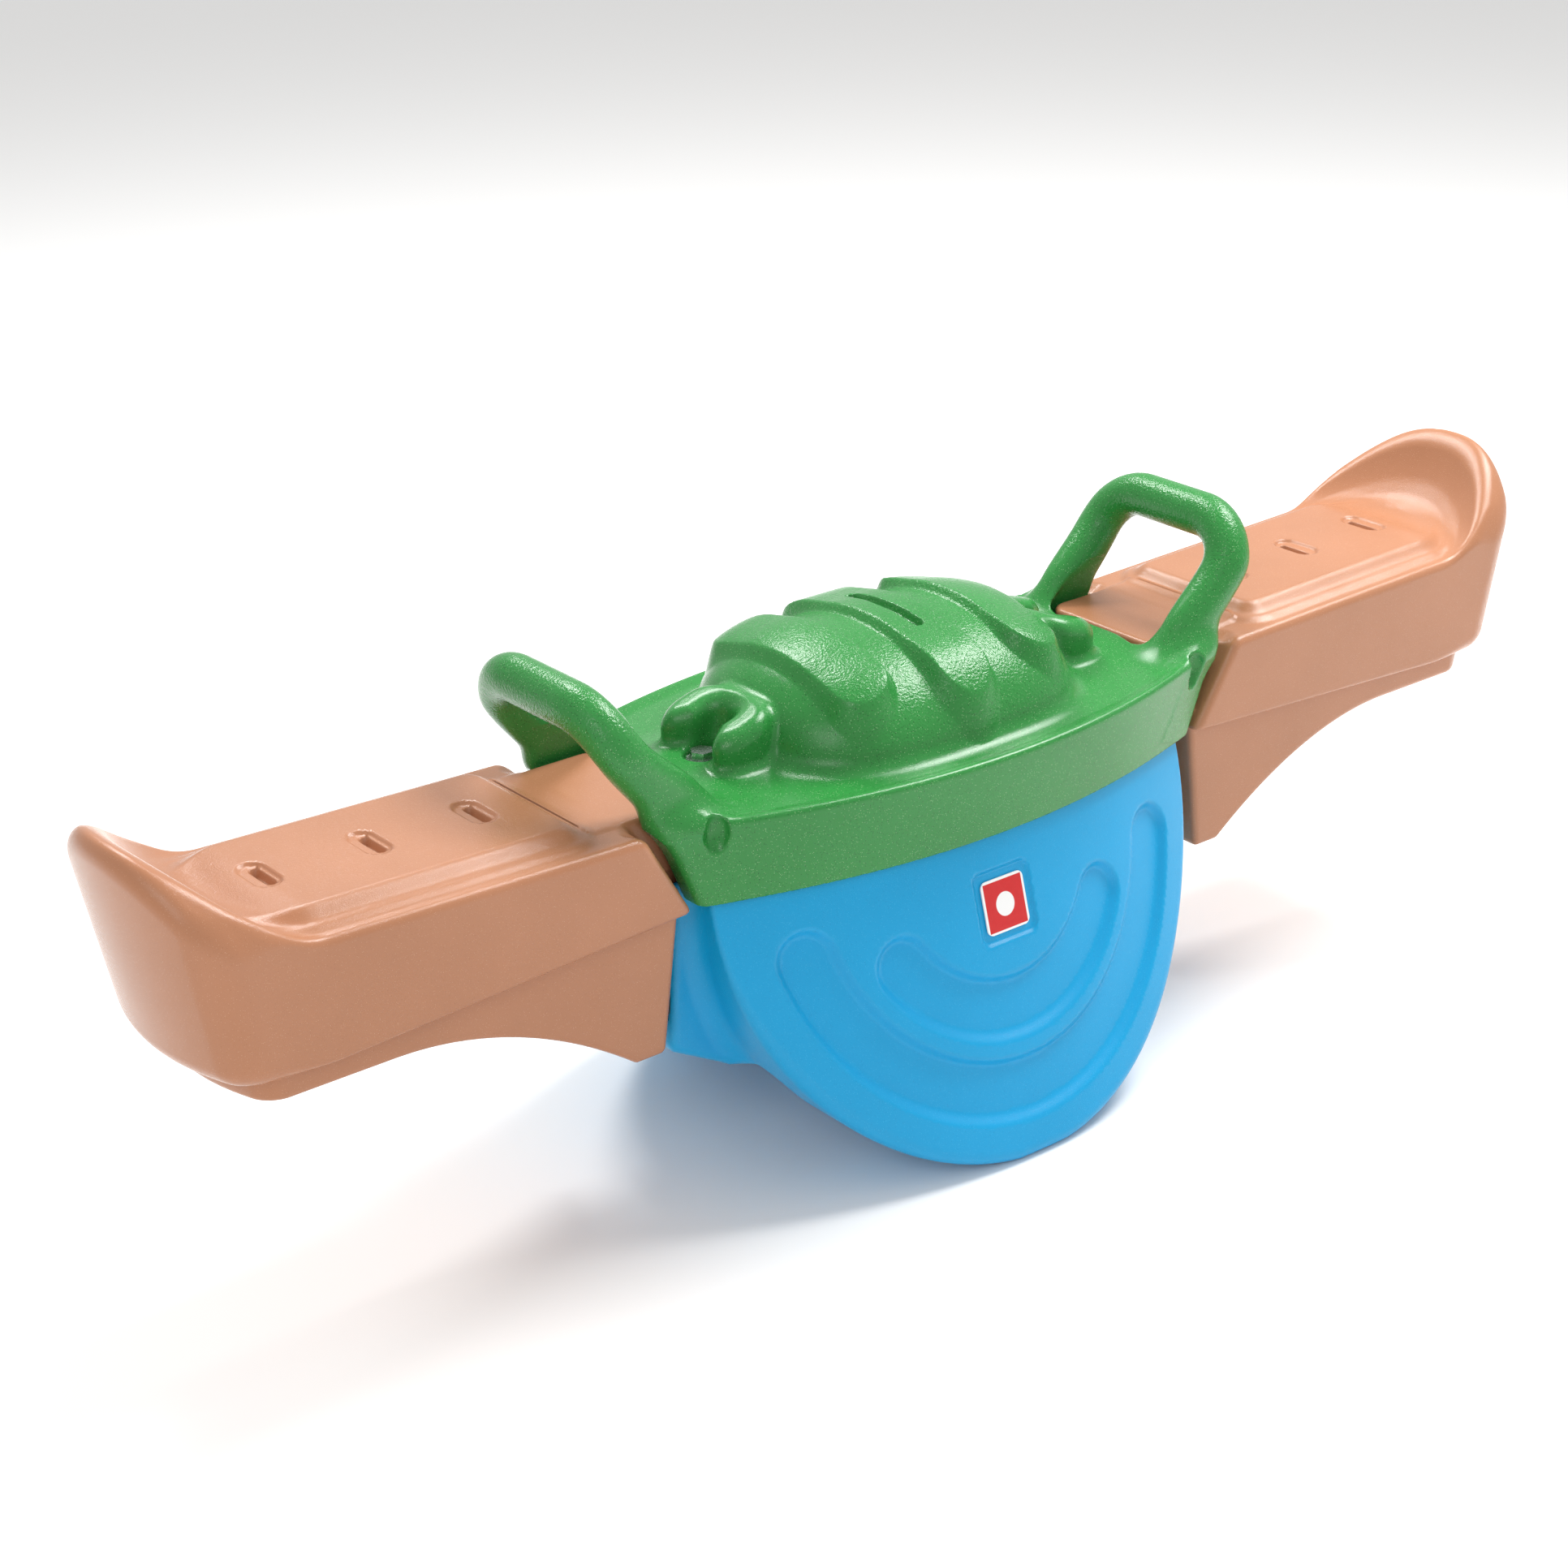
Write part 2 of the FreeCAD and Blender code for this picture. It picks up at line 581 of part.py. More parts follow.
def seat_box(name, inset):
    """The upper box of a seat with its raised back lip, all walls moved in by inset."""
    half = "(Sizes.seat_half - %s)" % inset
    flank = "(Sizes.seat_half + Sizes.side_flare - %s)" % inset
    side = new_outline(name + "Side", PLANE_XZ, [
        ("Sizes.seat_inner_low + 2 * %s" % inset, "Sizes.seat_low_inner + %s" % inset),
        ("Sizes.seat_end_low - 2 * %s" % inset, "Sizes.seat_low_outer + %s" % inset),
        ("Sizes.lip_end - 1.2 * %s" % inset, "Sizes.lip_top - Sizes.lip_drop - %s" % inset),
        ("Sizes.lip_end - Sizes.lip_run + %s" % inset,
         "Sizes.lip_top - Sizes.lip_fall - 1.5 * %s" % inset, "Sizes.lip_round"),
        ("Sizes.seat_end_low - Sizes.back_run", "Sizes.seat_top - %s" % inset,
         "-(Sizes.back_curve + %s)" % inset),
        ("Sizes.seat_inner_top + 2 * %s" % inset, "Sizes.seat_top - %s" % inset),
    ])
    far = "Sizes.seat_end_low - Sizes.corner_end - %s" % inset
    plan = new_outline(name + "Plan", PLANE_XY, [
        ("Sizes.seat_inner_low - Sizes.plan_start", "-%s" % half),
        ("Sizes.seat_end_low - Sizes.corner_run", "-%s" % half),
        (far, "-%s + Sizes.corner_side" % half, "Sizes.corner_curve"),
        (far, "%s - Sizes.corner_side" % half, "Sizes.end_curve"),
        ("Sizes.seat_end_low - Sizes.corner_run", half, "Sizes.corner_curve"),
        ("Sizes.seat_inner_low - Sizes.plan_start", half),
    ])
    bind(plan, Placement_Base_z="Sizes.seat_low_outer - 1")
    end_slope = Vector(number("Sizes.lip_end - Sizes.seat_end_low"), 0,
                       number("Sizes.lip_top - Sizes.lip_drop - Sizes.seat_low_outer"))
    shoulder = "Sizes.lip_top - Sizes.arch_drop - %s" % inset
    arch = new_outline(name + "Arch", PLANE_YZ, [
        ("-%s" % flank, "Sizes.beam_low"),
        (flank, "Sizes.beam_low"),
        (flank, "Sizes.lip_side - %s" % inset),
        ("%s - Sizes.arch_run" % half, shoulder, "-Sizes.arch_flank"),
        ("-%s + Sizes.arch_run" % half, shoulder, "Sizes.arch_crown"),
        ("-%s" % flank, "Sizes.lip_side - %s" % inset, "-Sizes.arch_flank"),
    ])
    return common(name, extrude(name + "SideBlock", side, half, half),
                  extrude(name + "PlanBlock", plan, "Sizes.reach", "0", end_slope),
                  extrude(name + "ArchBlock", arch, "Sizes.lip_end + 20"))


def seat_beam(name, inset):
    """The arched lower beam of a seat, all walls moved in by inset."""
    outline = new_outline(name + "Side", PLANE_XZ, [
        ("Sizes.seat_inner_low + Sizes.beam_foot + %s" % inset,
         "Sizes.beam_low + Sizes.beam_foot_up + %s" % inset),
        ("Sizes.seat_inner_low + Sizes.beam_foot_round + %s" % inset,
         "Sizes.beam_low - Sizes.beam_foot_dip + %s" % inset),
        ("Sizes.seat_inner_low + Sizes.beam_foot_run", "Sizes.beam_low + %s" % inset),
        ("Sizes.seat_inner_low + Sizes.beam_heel_run",
         "Sizes.beam_low + Sizes.beam_heel_rise + Sizes.beam_heel_inset * %s" % inset),
        ("Sizes.beam_end - Sizes.beam_arch_run", "Sizes.beam_mid_low + %s" % inset,
         "-(Sizes.beam_arch - %s)" % inset),
        ("Sizes.beam_end - Sizes.beam_corner", "Sizes.beam_mid_low - Sizes.beam_toe_drop + %s" % inset),
        ("Sizes.beam_end - %s" % inset, "Sizes.beam_mid_low + Sizes.beam_corner_rise", "Sizes.beam_corner"),
        ("Sizes.beam_end - %s" % inset, "Sizes.seat_low_inner + Sizes.beam_joint"),
        ("Sizes.seat_inner_low + Sizes.beam_joint_run + 2 * %s" % inset,
         "Sizes.seat_low_inner + Sizes.beam_joint"),
        ("Sizes.seat_inner_low + 1.3 * %s" % inset, "Sizes.seat_low_inner"),
    ])
    return extrude(name, outline, "Sizes.beam_half - %s" % inset, "Sizes.beam_half - %s" % inset)


def seat_pad(name, inset, floor, height):
    """The raised seat pad with its rounded outer end."""
    half = "(Sizes.pad_half - %s)" % inset
    start = "Sizes.pad_start + %s" % inset
    outline = new_outline(name + "Outline", PLANE_XY, [
        (start, "-%s + Sizes.pad_corner" % half),
        ("%s + Sizes.pad_corner" % start, "-%s" % half, "Sizes.pad_corner * 1.05"),
        ("Sizes.pad_end - Sizes.pad_round_run", "-%s" % half),
        ("Sizes.pad_end - Sizes.pad_round_run", half, "Sizes.pad_round - %s" % inset),
        ("%s + Sizes.pad_corner" % start, half),
        (start, "%s - Sizes.pad_corner" % half, "Sizes.pad_corner * 1.05"),
    ])
    bind(outline, Placement_Base_z=floor)
    return extrude(name, outline, height)


def make_seat_right():
    wall = "Sizes.seat_wall"
    spigot = block("Spigot", "Sizes.seat_inner_low + Sizes.tongue_depth - Sizes.spigot_start",
                   "2 * Sizes.spigot_half", "Sizes.spigot_top - Sizes.spigot_low",
                   "Sizes.spigot_start", "-Sizes.spigot_half", "Sizes.spigot_low")
    tongue = block("Tongue", "Sizes.seat_inner_top + 2 * Sizes.overlap - Sizes.tongue_start",
                   "2 * Sizes.tongue_half", "Sizes.tongue_top - Sizes.spigot_top + Sizes.tongue_depth",
                   "Sizes.tongue_start", "-Sizes.tongue_half", "Sizes.spigot_top - Sizes.tongue_depth")
    pad = seat_pad("Pad", "0", "Sizes.seat_top - Sizes.overlap",
                   "Sizes.pad_top - Sizes.seat_top + Sizes.overlap")
    outside = fuse("SeatSolid", seat_box("SeatBox", "0"), seat_beam("Beam", "0"), spigot, tongue, pad)

    # Hollow moulding: one room inside, kept away from every outer face by the wall, with
    # moulded posts left standing around the bolt and the two screws.
    spigot_room = block("SpigotRoom",
                        "Sizes.seat_inner_top + 2 * Sizes.overlap - Sizes.spigot_start - %s" % wall,
                        "2 * (Sizes.spigot_half - %s)" % wall,
                        "Sizes.spigot_top - Sizes.spigot_low - 2 * %s" % wall,
                        "Sizes.spigot_start + %s" % wall, "-Sizes.spigot_half + %s" % wall,
                        "Sizes.spigot_low + %s" % wall)
    pad_room = seat_pad("PadRoom", wall, "Sizes.seat_top - 2 * Sizes.overlap",
                        "Sizes.pad_top - Sizes.seat_top + 2 * Sizes.overlap - Sizes.slot_depth - %s" % wall)
    rooms = fuse("SeatRooms", seat_box("SeatRoom", wall), seat_beam("BeamRoom", wall), spigot_room, pad_room)
    keepers = [post("SpigotPost", "Sizes.post_radius", "Sizes.reach",
                    "Sizes.bolt_x", "0", "Sizes.spigot_low")]
    holes = [post("SpigotHole", "Sizes.bolt_hole / 2", "Sizes.reach", "Sizes.bolt_x", "0",
                  "Sizes.spigot_low - Sizes.overlap")]
    for flank, sign in FLANKS:
        y = "%sSizes.screw_y" % sign
        keepers.append(post("ScrewBoss" + flank, "Sizes.screw_boss / 2", "Sizes.screw_length",
                            "Sizes.screw_x", y, "Sizes.spigot_low"))
        holes.append(post("ScrewPilot" + flank, "Sizes.screw_size / 2",
                          "Sizes.screw_length - Sizes.spigot_low + Sizes.tunnel_roof",
                          "Sizes.screw_x", y, "Sizes.spigot_low"))
    hollow = cut("SeatHollow", outside, cut("SeatCavity", rooms, fuse("SeatKeepers", *keepers)))
    for place in range(3):
        holes.append(block("PadSlot%d" % (place + 1), "Sizes.slot_width", "Sizes.slot_length", "Sizes.reach",
                           "Sizes.slot_first + %d * Sizes.slot_pitch - Sizes.slot_width / 2" % place,
                           "-Sizes.slot_length / 2", "Sizes.pad_top - Sizes.slot_depth"))
    return cut("seat_right", hollow, fuse("SeatHoles", *holes))


# ---------------------------------------------------------------- hardware

def make_bolt(side, sign):
    x = "%sSizes.bolt_x" % sign
    head = doc.addObject("Part::Prism", "BoltHead" + side)
    head.Polygon = 6
    bind(head, Circumradius="Sizes.bolt_head_flats / sqrt(3)", Height="Sizes.bolt_head_height",
         Placement_Base_x=x, Placement_Base_z="Sizes.well_floor + Sizes.washer_thick")
    shank = post("BoltShank" + side, "Sizes.bolt_size / 2",
                 "Sizes.well_floor + Sizes.washer_thick - Sizes.bolt_end", x, "0", "Sizes.bolt_end")
    return fuse("cover_bolt_" + side.lower(), head, shank)


def make_washer(name, x, level, bore):
    body = doc.addObject("PartDesign::Body", name)
    outline = body.newObject("Sketcher::SketchObject", name + "_outline")
    plane = [item for item in body.Origin.OriginFeatures if item.Role == "XY_Plane"][0]
    outline.AttachmentSupport = [(plane, "")]
    outline.MapMode = "FlatFace"
    for place, width in enumerate(("Sizes.washer_size / 2", bore)):
        outline.addGeometry(Part.Circle(Vector(), Vector(0, 0, 1), number(width)), False)
        outline.addConstraint(Sketcher.Constraint("Coincident", place, 3, -1, 1))
        size = outline.addConstraint(Sketcher.Constraint("Radius", place, number(width)))
        outline.setExpression("Constraints[%d]" % size, width)
    pad = body.newObject("PartDesign::Pad", name + "_pad")
    pad.Profile = outline
    bind(pad, Length="Sizes.washer_thick")
    bind(body, Placement_Base_x=x, Placement_Base_z=level)
    return body


def make_nut(side, sign):
    x = "%sSizes.bolt_x" % sign
    level = "Sizes.tunnel_roof - Sizes.washer_thick - Sizes.nut_height"
    hexagon = doc.addObject("Part::Prism", "NutHex" + side)
    hexagon.Polygon = 6
    bind(hexagon, Circumradius="Sizes.bolt_head_flats / sqrt(3)", Height="Sizes.nut_height",
         Placement_Base_x=x, Placement_Base_z=level)
    bore = post("NutBore" + side, "Sizes.bolt_size / 2", "Sizes.nut_height", x, "0", level)
    return cut("lock_nut_" + side.lower(), hexagon, bore)


def make_seat_screws(side, sign):
    """Two pan-head screws that come up through the trough floor into the spigot."""
    pair = []
    for flank, flank_sign in FLANKS:
        x = "%sSizes.screw_x" % sign
        y = "%sSizes.screw_y" % flank_sign
        head = post("ScrewHead" + side + flank, "Sizes.screw_head / 2", "Sizes.screw_head_height",
                    x, y, "Sizes.tunnel_roof - Sizes.screw_head_height")
        shank = post("ScrewShank" + side + flank, "Sizes.screw_size / 2", "Sizes.screw_length",
                     x, y, "Sizes.tunnel_roof")
        pair.append(fuse("Screw" + side + flank, head, shank))
    group = doc.addObject("Part::Compound", "seat_screws_" + side.lower())
    group.Links = pair
    return group


parts = [make_rocker_base(), make_top_cover()]
right_seat = make_seat_right()
left_seat = mirror("seat_left", right_seat, Vector(1, 0, 0))
parts += [right_seat, left_seat]
emblem = emblem_block("emblem_front", "Sizes.emblem_side", "Sizes.emblem_thick")
parts += [emblem, mirror("emblem_rear", emblem, Vector(0, 1, 0))]
for side, sign in SIDES:
    x = "%sSizes.bolt_x" % sign
    parts.append(make_bolt(side, sign))
    parts.append(make_washer("head_washer_" + side.lower(), x, "Sizes.well_floor", "Sizes.bolt_size / 2"))
    parts.append(make_washer("nut_washer_" + side.lower(), x, "Sizes.tunnel_roof - Sizes.washer_thick",
                             "Sizes.bolt_size / 2"))
    parts.append(make_nut(side, sign))
    parts.append(make_seat_screws(side, sign))

doc.recompute()

failed = [item.Name for item in doc.Objects if "Invalid" in item.State or "Error" in item.State]
if failed:
    raise SystemExit("failed objects: %s" % ", ".join(failed))
for item in parts:
    if item.Shape.isNull() or not item.Shape.isValid():
        raise SystemExit("bad shape: %s" % item.Label)
    print("%-20s solids %d  volume %8.1f cm3"
          % (item.Label, len(item.Shape.Solids), item.Shape.Volume / 1000))

os.makedirs("parts", exist_ok=True)
for item in parts:
    item.Shape.exportStep(os.path.join("parts", item.Label + ".step"))
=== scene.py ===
import math

import bpy
import numpy as np
from mathutils import Matrix, Vector


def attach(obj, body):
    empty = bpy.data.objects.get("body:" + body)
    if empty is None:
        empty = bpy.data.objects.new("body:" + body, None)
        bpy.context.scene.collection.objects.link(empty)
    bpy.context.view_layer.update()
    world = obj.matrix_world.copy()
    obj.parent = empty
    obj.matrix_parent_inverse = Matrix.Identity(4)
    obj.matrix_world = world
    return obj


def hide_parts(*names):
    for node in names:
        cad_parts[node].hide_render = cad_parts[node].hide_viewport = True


# A child's two-seat rocking seesaw. The four plastic mouldings are signed distance
# fields, so their edges, fillets and grooves flow into each other as moulded plastic
# does. Each field is sampled on a grid, skinned with quads, and the vertices are then
# moved onto the exact surface. Shapes are in millimetres. The base and the cover mirror
# in X and in Y, and each seat mirrors in Y.

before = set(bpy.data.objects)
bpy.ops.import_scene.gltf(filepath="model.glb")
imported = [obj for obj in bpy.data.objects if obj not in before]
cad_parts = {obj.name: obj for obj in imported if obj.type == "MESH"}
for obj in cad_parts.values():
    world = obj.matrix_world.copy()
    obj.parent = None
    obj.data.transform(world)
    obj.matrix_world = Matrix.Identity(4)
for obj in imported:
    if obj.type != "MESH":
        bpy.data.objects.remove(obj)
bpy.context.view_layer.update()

MM = 0.001


# ---------------------------------------------------------------- field operations

def ease(value):
    """0 below 0, 1 above 1, and smooth between."""
    t = np.clip(value, 0, 1)
    return t * t * (3 - 2 * t)


def within(a, b, radius):
    """The space inside both fields, its edge rounded by radius."""
    corner = np.hypot(np.maximum(a + radius, 0), np.maximum(b + radius, 0))
    return np.minimum(np.maximum(a, b), -radius) + corner


def joined(a, b, radius):
    """The space inside either field, with a fillet of that radius between them."""
    return -within(-a, -b, radius)


def carved(a, b, radius):
    """Field a with field b taken away, the new edge rounded by radius."""
    return within(a, -b, radius)


def stadium(u, v, half_length, radius):
    """Distance to a bar with round ends that lies along v."""
    return np.hypot(u, np.maximum(np.abs(v) - half_length, 0)) - radius


def ellipsoid(x, y, z, a, b, c):
    """Near enough the distance to an ellipsoid."""
    near = np.sqrt((x / a) ** 2 + (y / b) ** 2 + (z / c) ** 2) + 1e-9
    steep = np.sqrt((x / a ** 2) ** 2 + (y / b ** 2) ** 2 + (z / c ** 2) ** 2) + 1e-9
    return near * (near - 1) / steep


def inside_step(distance, bevel):
    """1 well inside a plane figure, 0 outside it, with a soft slope one bevel wide at its edge."""
    return ease(0.5 - distance / bevel)


# A field measured straight across a bowed or leaning wall is this much more than the
# distance to it.
BOWED = 1.06


# ---------------------------------------------------------------- rocker base

ROCKER_RADIUS = 234.6
REST_FLAT_HALF = 24
ROCKER_AXIS = math.sqrt(ROCKER_RADIUS ** 2 - REST_FLAT_HALF ** 2)
BASE_TOP = 257
BASE_TOP_ROUND = 2

FACE_END = 245
FACE_NARROW = 79.4
FACE_BOW = 45.7
FACE_LEAN = 0.273
FACE_LEVEL = 250
TYRE_ROUND = 3
TYRE_ROUND_GAIN = 9
TYRE_ROUND_TOP = 235
TYRE_ROUND_DROP = 150

GROOVE_HALF = 21.5
GROOVES = ((178, 14), (117, 33))
GROOVE_DEPTH = 6
GROOVE_BEVEL = 10
EMBLEM_HEIGHT = 193
RECESS_HALF = 27
RECESS_CORNER = 7
RECESS_DEPTH = 2.6
RECESS_BEVEL = 3

TUNNEL_HALF = 95
TUNNEL_ROOF = 92
TUNNEL_ROUND = 16
TUNNEL_LIP = 6

SHOULDER_HALF = 62
SHOULDER_END = 258
SHOULDER_LEAN = 0.0593
SHOULDER_LEVEL = 122
SHOULDER_LOW = 92
SHOULDER_SLOPE = 0.55
SHOULDER_SLOPE_START = 201
SHOULDER_STEEPNESS = 1.14
SHOULDER_EDGE = 7
SHOULDER_LOW_EDGE = 8
SHOULDER_FILLET = 16
TROUGH_HALF = 56
TROUGH_FLOOR = 148
TROUGH_EDGE = 2


def face_half(x, z):
    """Half the width between the two bowed, leaning rocker faces."""
    return FACE_NARROW + FACE_BOW * (1 - (x / FACE_END) ** 2) - FACE_LEAN * (z - FACE_LEVEL)


def groove_distance(x, z, radius, angle):
    """Distance in side view to an arc-shaped groove with round ends."""
    turn = math.radians(angle)
    across, down = np.abs(x), ROCKER_AXIS - z
    along = np.abs(np.hypot(across, down) - radius)
    tip = np.hypot(across - radius * math.cos(turn), down - radius * math.sin(turn))
    beyond = down * math.cos(turn) < across * math.sin(turn)
    return np.where(beyond, tip, along) - GROOVE_HALF


def base_field(x, y, z):
    face = (np.abs(y) - face_half(x, z)) / BOWED
    tyre = np.hypot(x, z - ROCKER_AXIS) - ROCKER_RADIUS
    edge = TYRE_ROUND + TYRE_ROUND_GAIN * ease((TYRE_ROUND_TOP - z) / TYRE_ROUND_DROP)
    disc = within(face, np.maximum(tyre, -z), edge)
    disc = within(disc, z - BASE_TOP, BASE_TOP_ROUND)

    recess = within(np.abs(x) - RECESS_HALF, np.abs(z - EMBLEM_HEIGHT) - RECESS_HALF, RECESS_CORNER)
    disc = disc + RECESS_DEPTH * inside_step(recess, RECESS_BEVEL)
    for radius, angle in GROOVES:
        groove = groove_distance(x, z, radius, angle)
        disc = disc + GROOVE_DEPTH * inside_step(groove, GROOVE_BEVEL)

    tunnel = within(np.abs(y) - TUNNEL_HALF, z - TUNNEL_ROOF, TUNNEL_ROUND)
    disc = carved(disc, tunnel, TUNNEL_LIP)

    end = np.abs(x) - SHOULDER_END + SHOULDER_LEAN * (z - SHOULDER_LEVEL)
    climb = SHOULDER_SLOPE * np.maximum(np.abs(x) - SHOULDER_SLOPE_START, 0)
    under = (SHOULDER_LOW + climb - z) / SHOULDER_STEEPNESS
    shoulder = within(np.abs(y) - SHOULDER_HALF, end, SHOULDER_EDGE)
    shoulder = within(shoulder, under, SHOULDER_LOW_EDGE)
    shoulder = np.maximum(shoulder, z - BASE_TOP)
    whole = joined(disc, shoulder, SHOULDER_FILLET)
    trough = np.maximum(np.abs(y) - TROUGH_HALF, TROUGH_FLOOR - z)
    return carved(whole, trough, TROUGH_EDGE)


# ---------------------------------------------------------------- cover

SKIRT_BOTTOM = 247
SKIRT_EDGE = 1.5
SKIRT_END = 245
END_SLOPE = 0.42
END_ANGLE = math.atan(END_SLOPE)
DECK = 316
WALL_HALF = 87.2
WALL_LEAN = 1.2
WALL_BOW = 44.8
WALL_BOW_GAIN = 14.7
COVER_CORNER = 6
COVER_EDGE = 5
RIM_HEIGHT = 3
RIM_INSET = 4
RIM_WIDTH = 12
DECK_SWELL = 7
DECK_SWELL_HALF = 74
DECK_SWELL_RUN = 56

DOME = (149, 112, 72)
DOME_POWER = 3.5
DOME_FILLET = 14
DOME_DEPTH = 40
BANDS = ((-84, 68), (0, 87), (84, 68))
BAND_HALF = 26
BAND_HEIGHT = 5.5
BAND_HEIGHT_GAIN = 4
BAND_GAIN_START = 40
BAND_GAIN_RUN = 50
BAND_BEVEL = 9
BAND_BELOW_DECK = 20
BAND_FADE = 14
CROWN_SLOT_HALF = 38
CROWN_SLOT_RADIUS = 4
CROWN_SLOT_DEPTH = 5
CROWN_SLOT_BEVEL = 3
CROWN_SLOT_RISE = 40
CROWN_SLOT_FADE = 10

HANDLE_RISE = 170
HANDLE_HALF = 70
HANDLE_BEND = 38
BAR = 18
LEG_TOP = 150
LEG_RUN = 85
LEG_SPLAY = 0.05
LEG_TUCK = 4
LEG_THINNER = 2
LEG_DEEPER = 6
LEG_SETBACK = 23
LEG_FOOT = 12
LEG_FILLET = 24
PROUD_LOW = 0.5
PROUD_GAIN = 30
PROUD_START = 40
PROUD_RUN = 110

CURL_X = 163
CURL_LENGTH = 30
CURL_WIDTH = 45
CURL_CORNER = 26
CURL_INNER = 14
CURL_TIP = 11
CURL_TOP = 357
CURL_TOP_X = 145
CURL_FALL = 0.3
CURL_ROUND = 13
CURL_DEPTH = 10
CURL_FILLET = 8
MOUTH_FLARE = 0.7
MOUTH_FLARE_START = 8

WELL_X = 171
WELL_HALF = 5
WELL_RADIUS = 14
WELL_FLOOR = 314
WELL_EDGE = 4
SCOOP_PLACE = (239, 100, 306)
SCOOP_SIZE = (10, 9, 16)
SCOOP_EDGE = 2

NOTCH_START = 224
NOTCH_HALF = 66
NOTCH_CORNER = 12
NOTCH_EDGE = 3
NOTCH_RISE = 34
NOTCH_SIDE_LEAN = 0.35
NOTCH_END_LEAN = 0.7
NOTCH_STEEPNESS = 1.1
ROOM_ROOF = 311
ROOM_EDGE = 2
ROOM_END = 300


def end_plane(x, z):
    """How far up the cover's leaning end plane a point is, and how far out of it."""
    ahead, up = np.abs(x) - SKIRT_END, z - SKIRT_BOTTOM
    rise = ahead * math.sin(END_ANGLE) + up * math.cos(END_ANGLE)
    out = ahead * math.cos(END_ANGLE) - up * math.sin(END_ANGLE)
    return rise, out


def handle_field(x, y, z):
    """A grab loop: a round bar above, whose legs turn to blades and run into the end wall."""
    rise, out = end_plane(x, z)
    low = ease((LEG_TOP - rise) / LEG_RUN)
    leg = HANDLE_HALF + LEG_SPLAY * (HANDLE_RISE - rise) - LEG_TUCK * low
    beside = np.abs(y) - leg + HANDLE_BEND
    above = rise - HANDLE_RISE + HANDLE_BEND
    loop = np.hypot(np.maximum(beside, 0), np.maximum(above, 0))
    loop = loop + np.minimum(np.maximum(beside, above), 0)
    narrow, deep = BAR - LEG_THINNER * low, BAR + LEG_DEEPER * low
    across = (loop - HANDLE_BEND) / narrow
    through = (out + LEG_SETBACK * low) / deep
    size = np.sqrt(across ** 2 + through ** 2) + 1e-9
    slope = np.sqrt((across / narrow) ** 2 + (through / deep) ** 2) + 1e-9
    bar = size * (size - 1) / slope
    return np.maximum(bar, LEG_FOOT - rise)


def blunt_dome(x, y, z):
    """Near enough the distance to the crown, whose ends drop more steeply than an ellipsoid's."""
    length, width, height = DOME
    along = (np.abs(x) / length) ** DOME_POWER
    near = along + (y / width) ** 2 + (z / height) ** 2
    steep = np.sqrt((DOME_POWER / 2 * along / np.maximum(np.abs(x), 1)) ** 2 + (y / width ** 2) ** 2
                    + (z / height ** 2) ** 2) + 1e-3
    return (near - 1) / (1 + np.sqrt(np.maximum(near, 0))) / steep


def curl_distance(x, y):
    """Distance in plan to the C-shaped hump around a bolt well, open towards the handle."""
    along = np.abs(x) - CURL_X
    beside_x = np.abs(along) - CURL_LENGTH + CURL_CORNER
    beside_y = np.abs(y) - CURL_WIDTH + CURL_CORNER
    outer = (np.hypot(np.maximum(beside_x, 0), np.maximum(beside_y, 0))
             + np.minimum(np.maximum(beside_x, beside_y), 0) - CURL_CORNER)
    mouth = np.abs(y) - CURL_INNER - MOUTH_FLARE * np.maximum(along - MOUTH_FLARE_START, 0)
    inner = np.where(along < 0, np.hypot(along, y) - CURL_INNER, mouth)
    return within(outer, -inner, CURL_TIP)


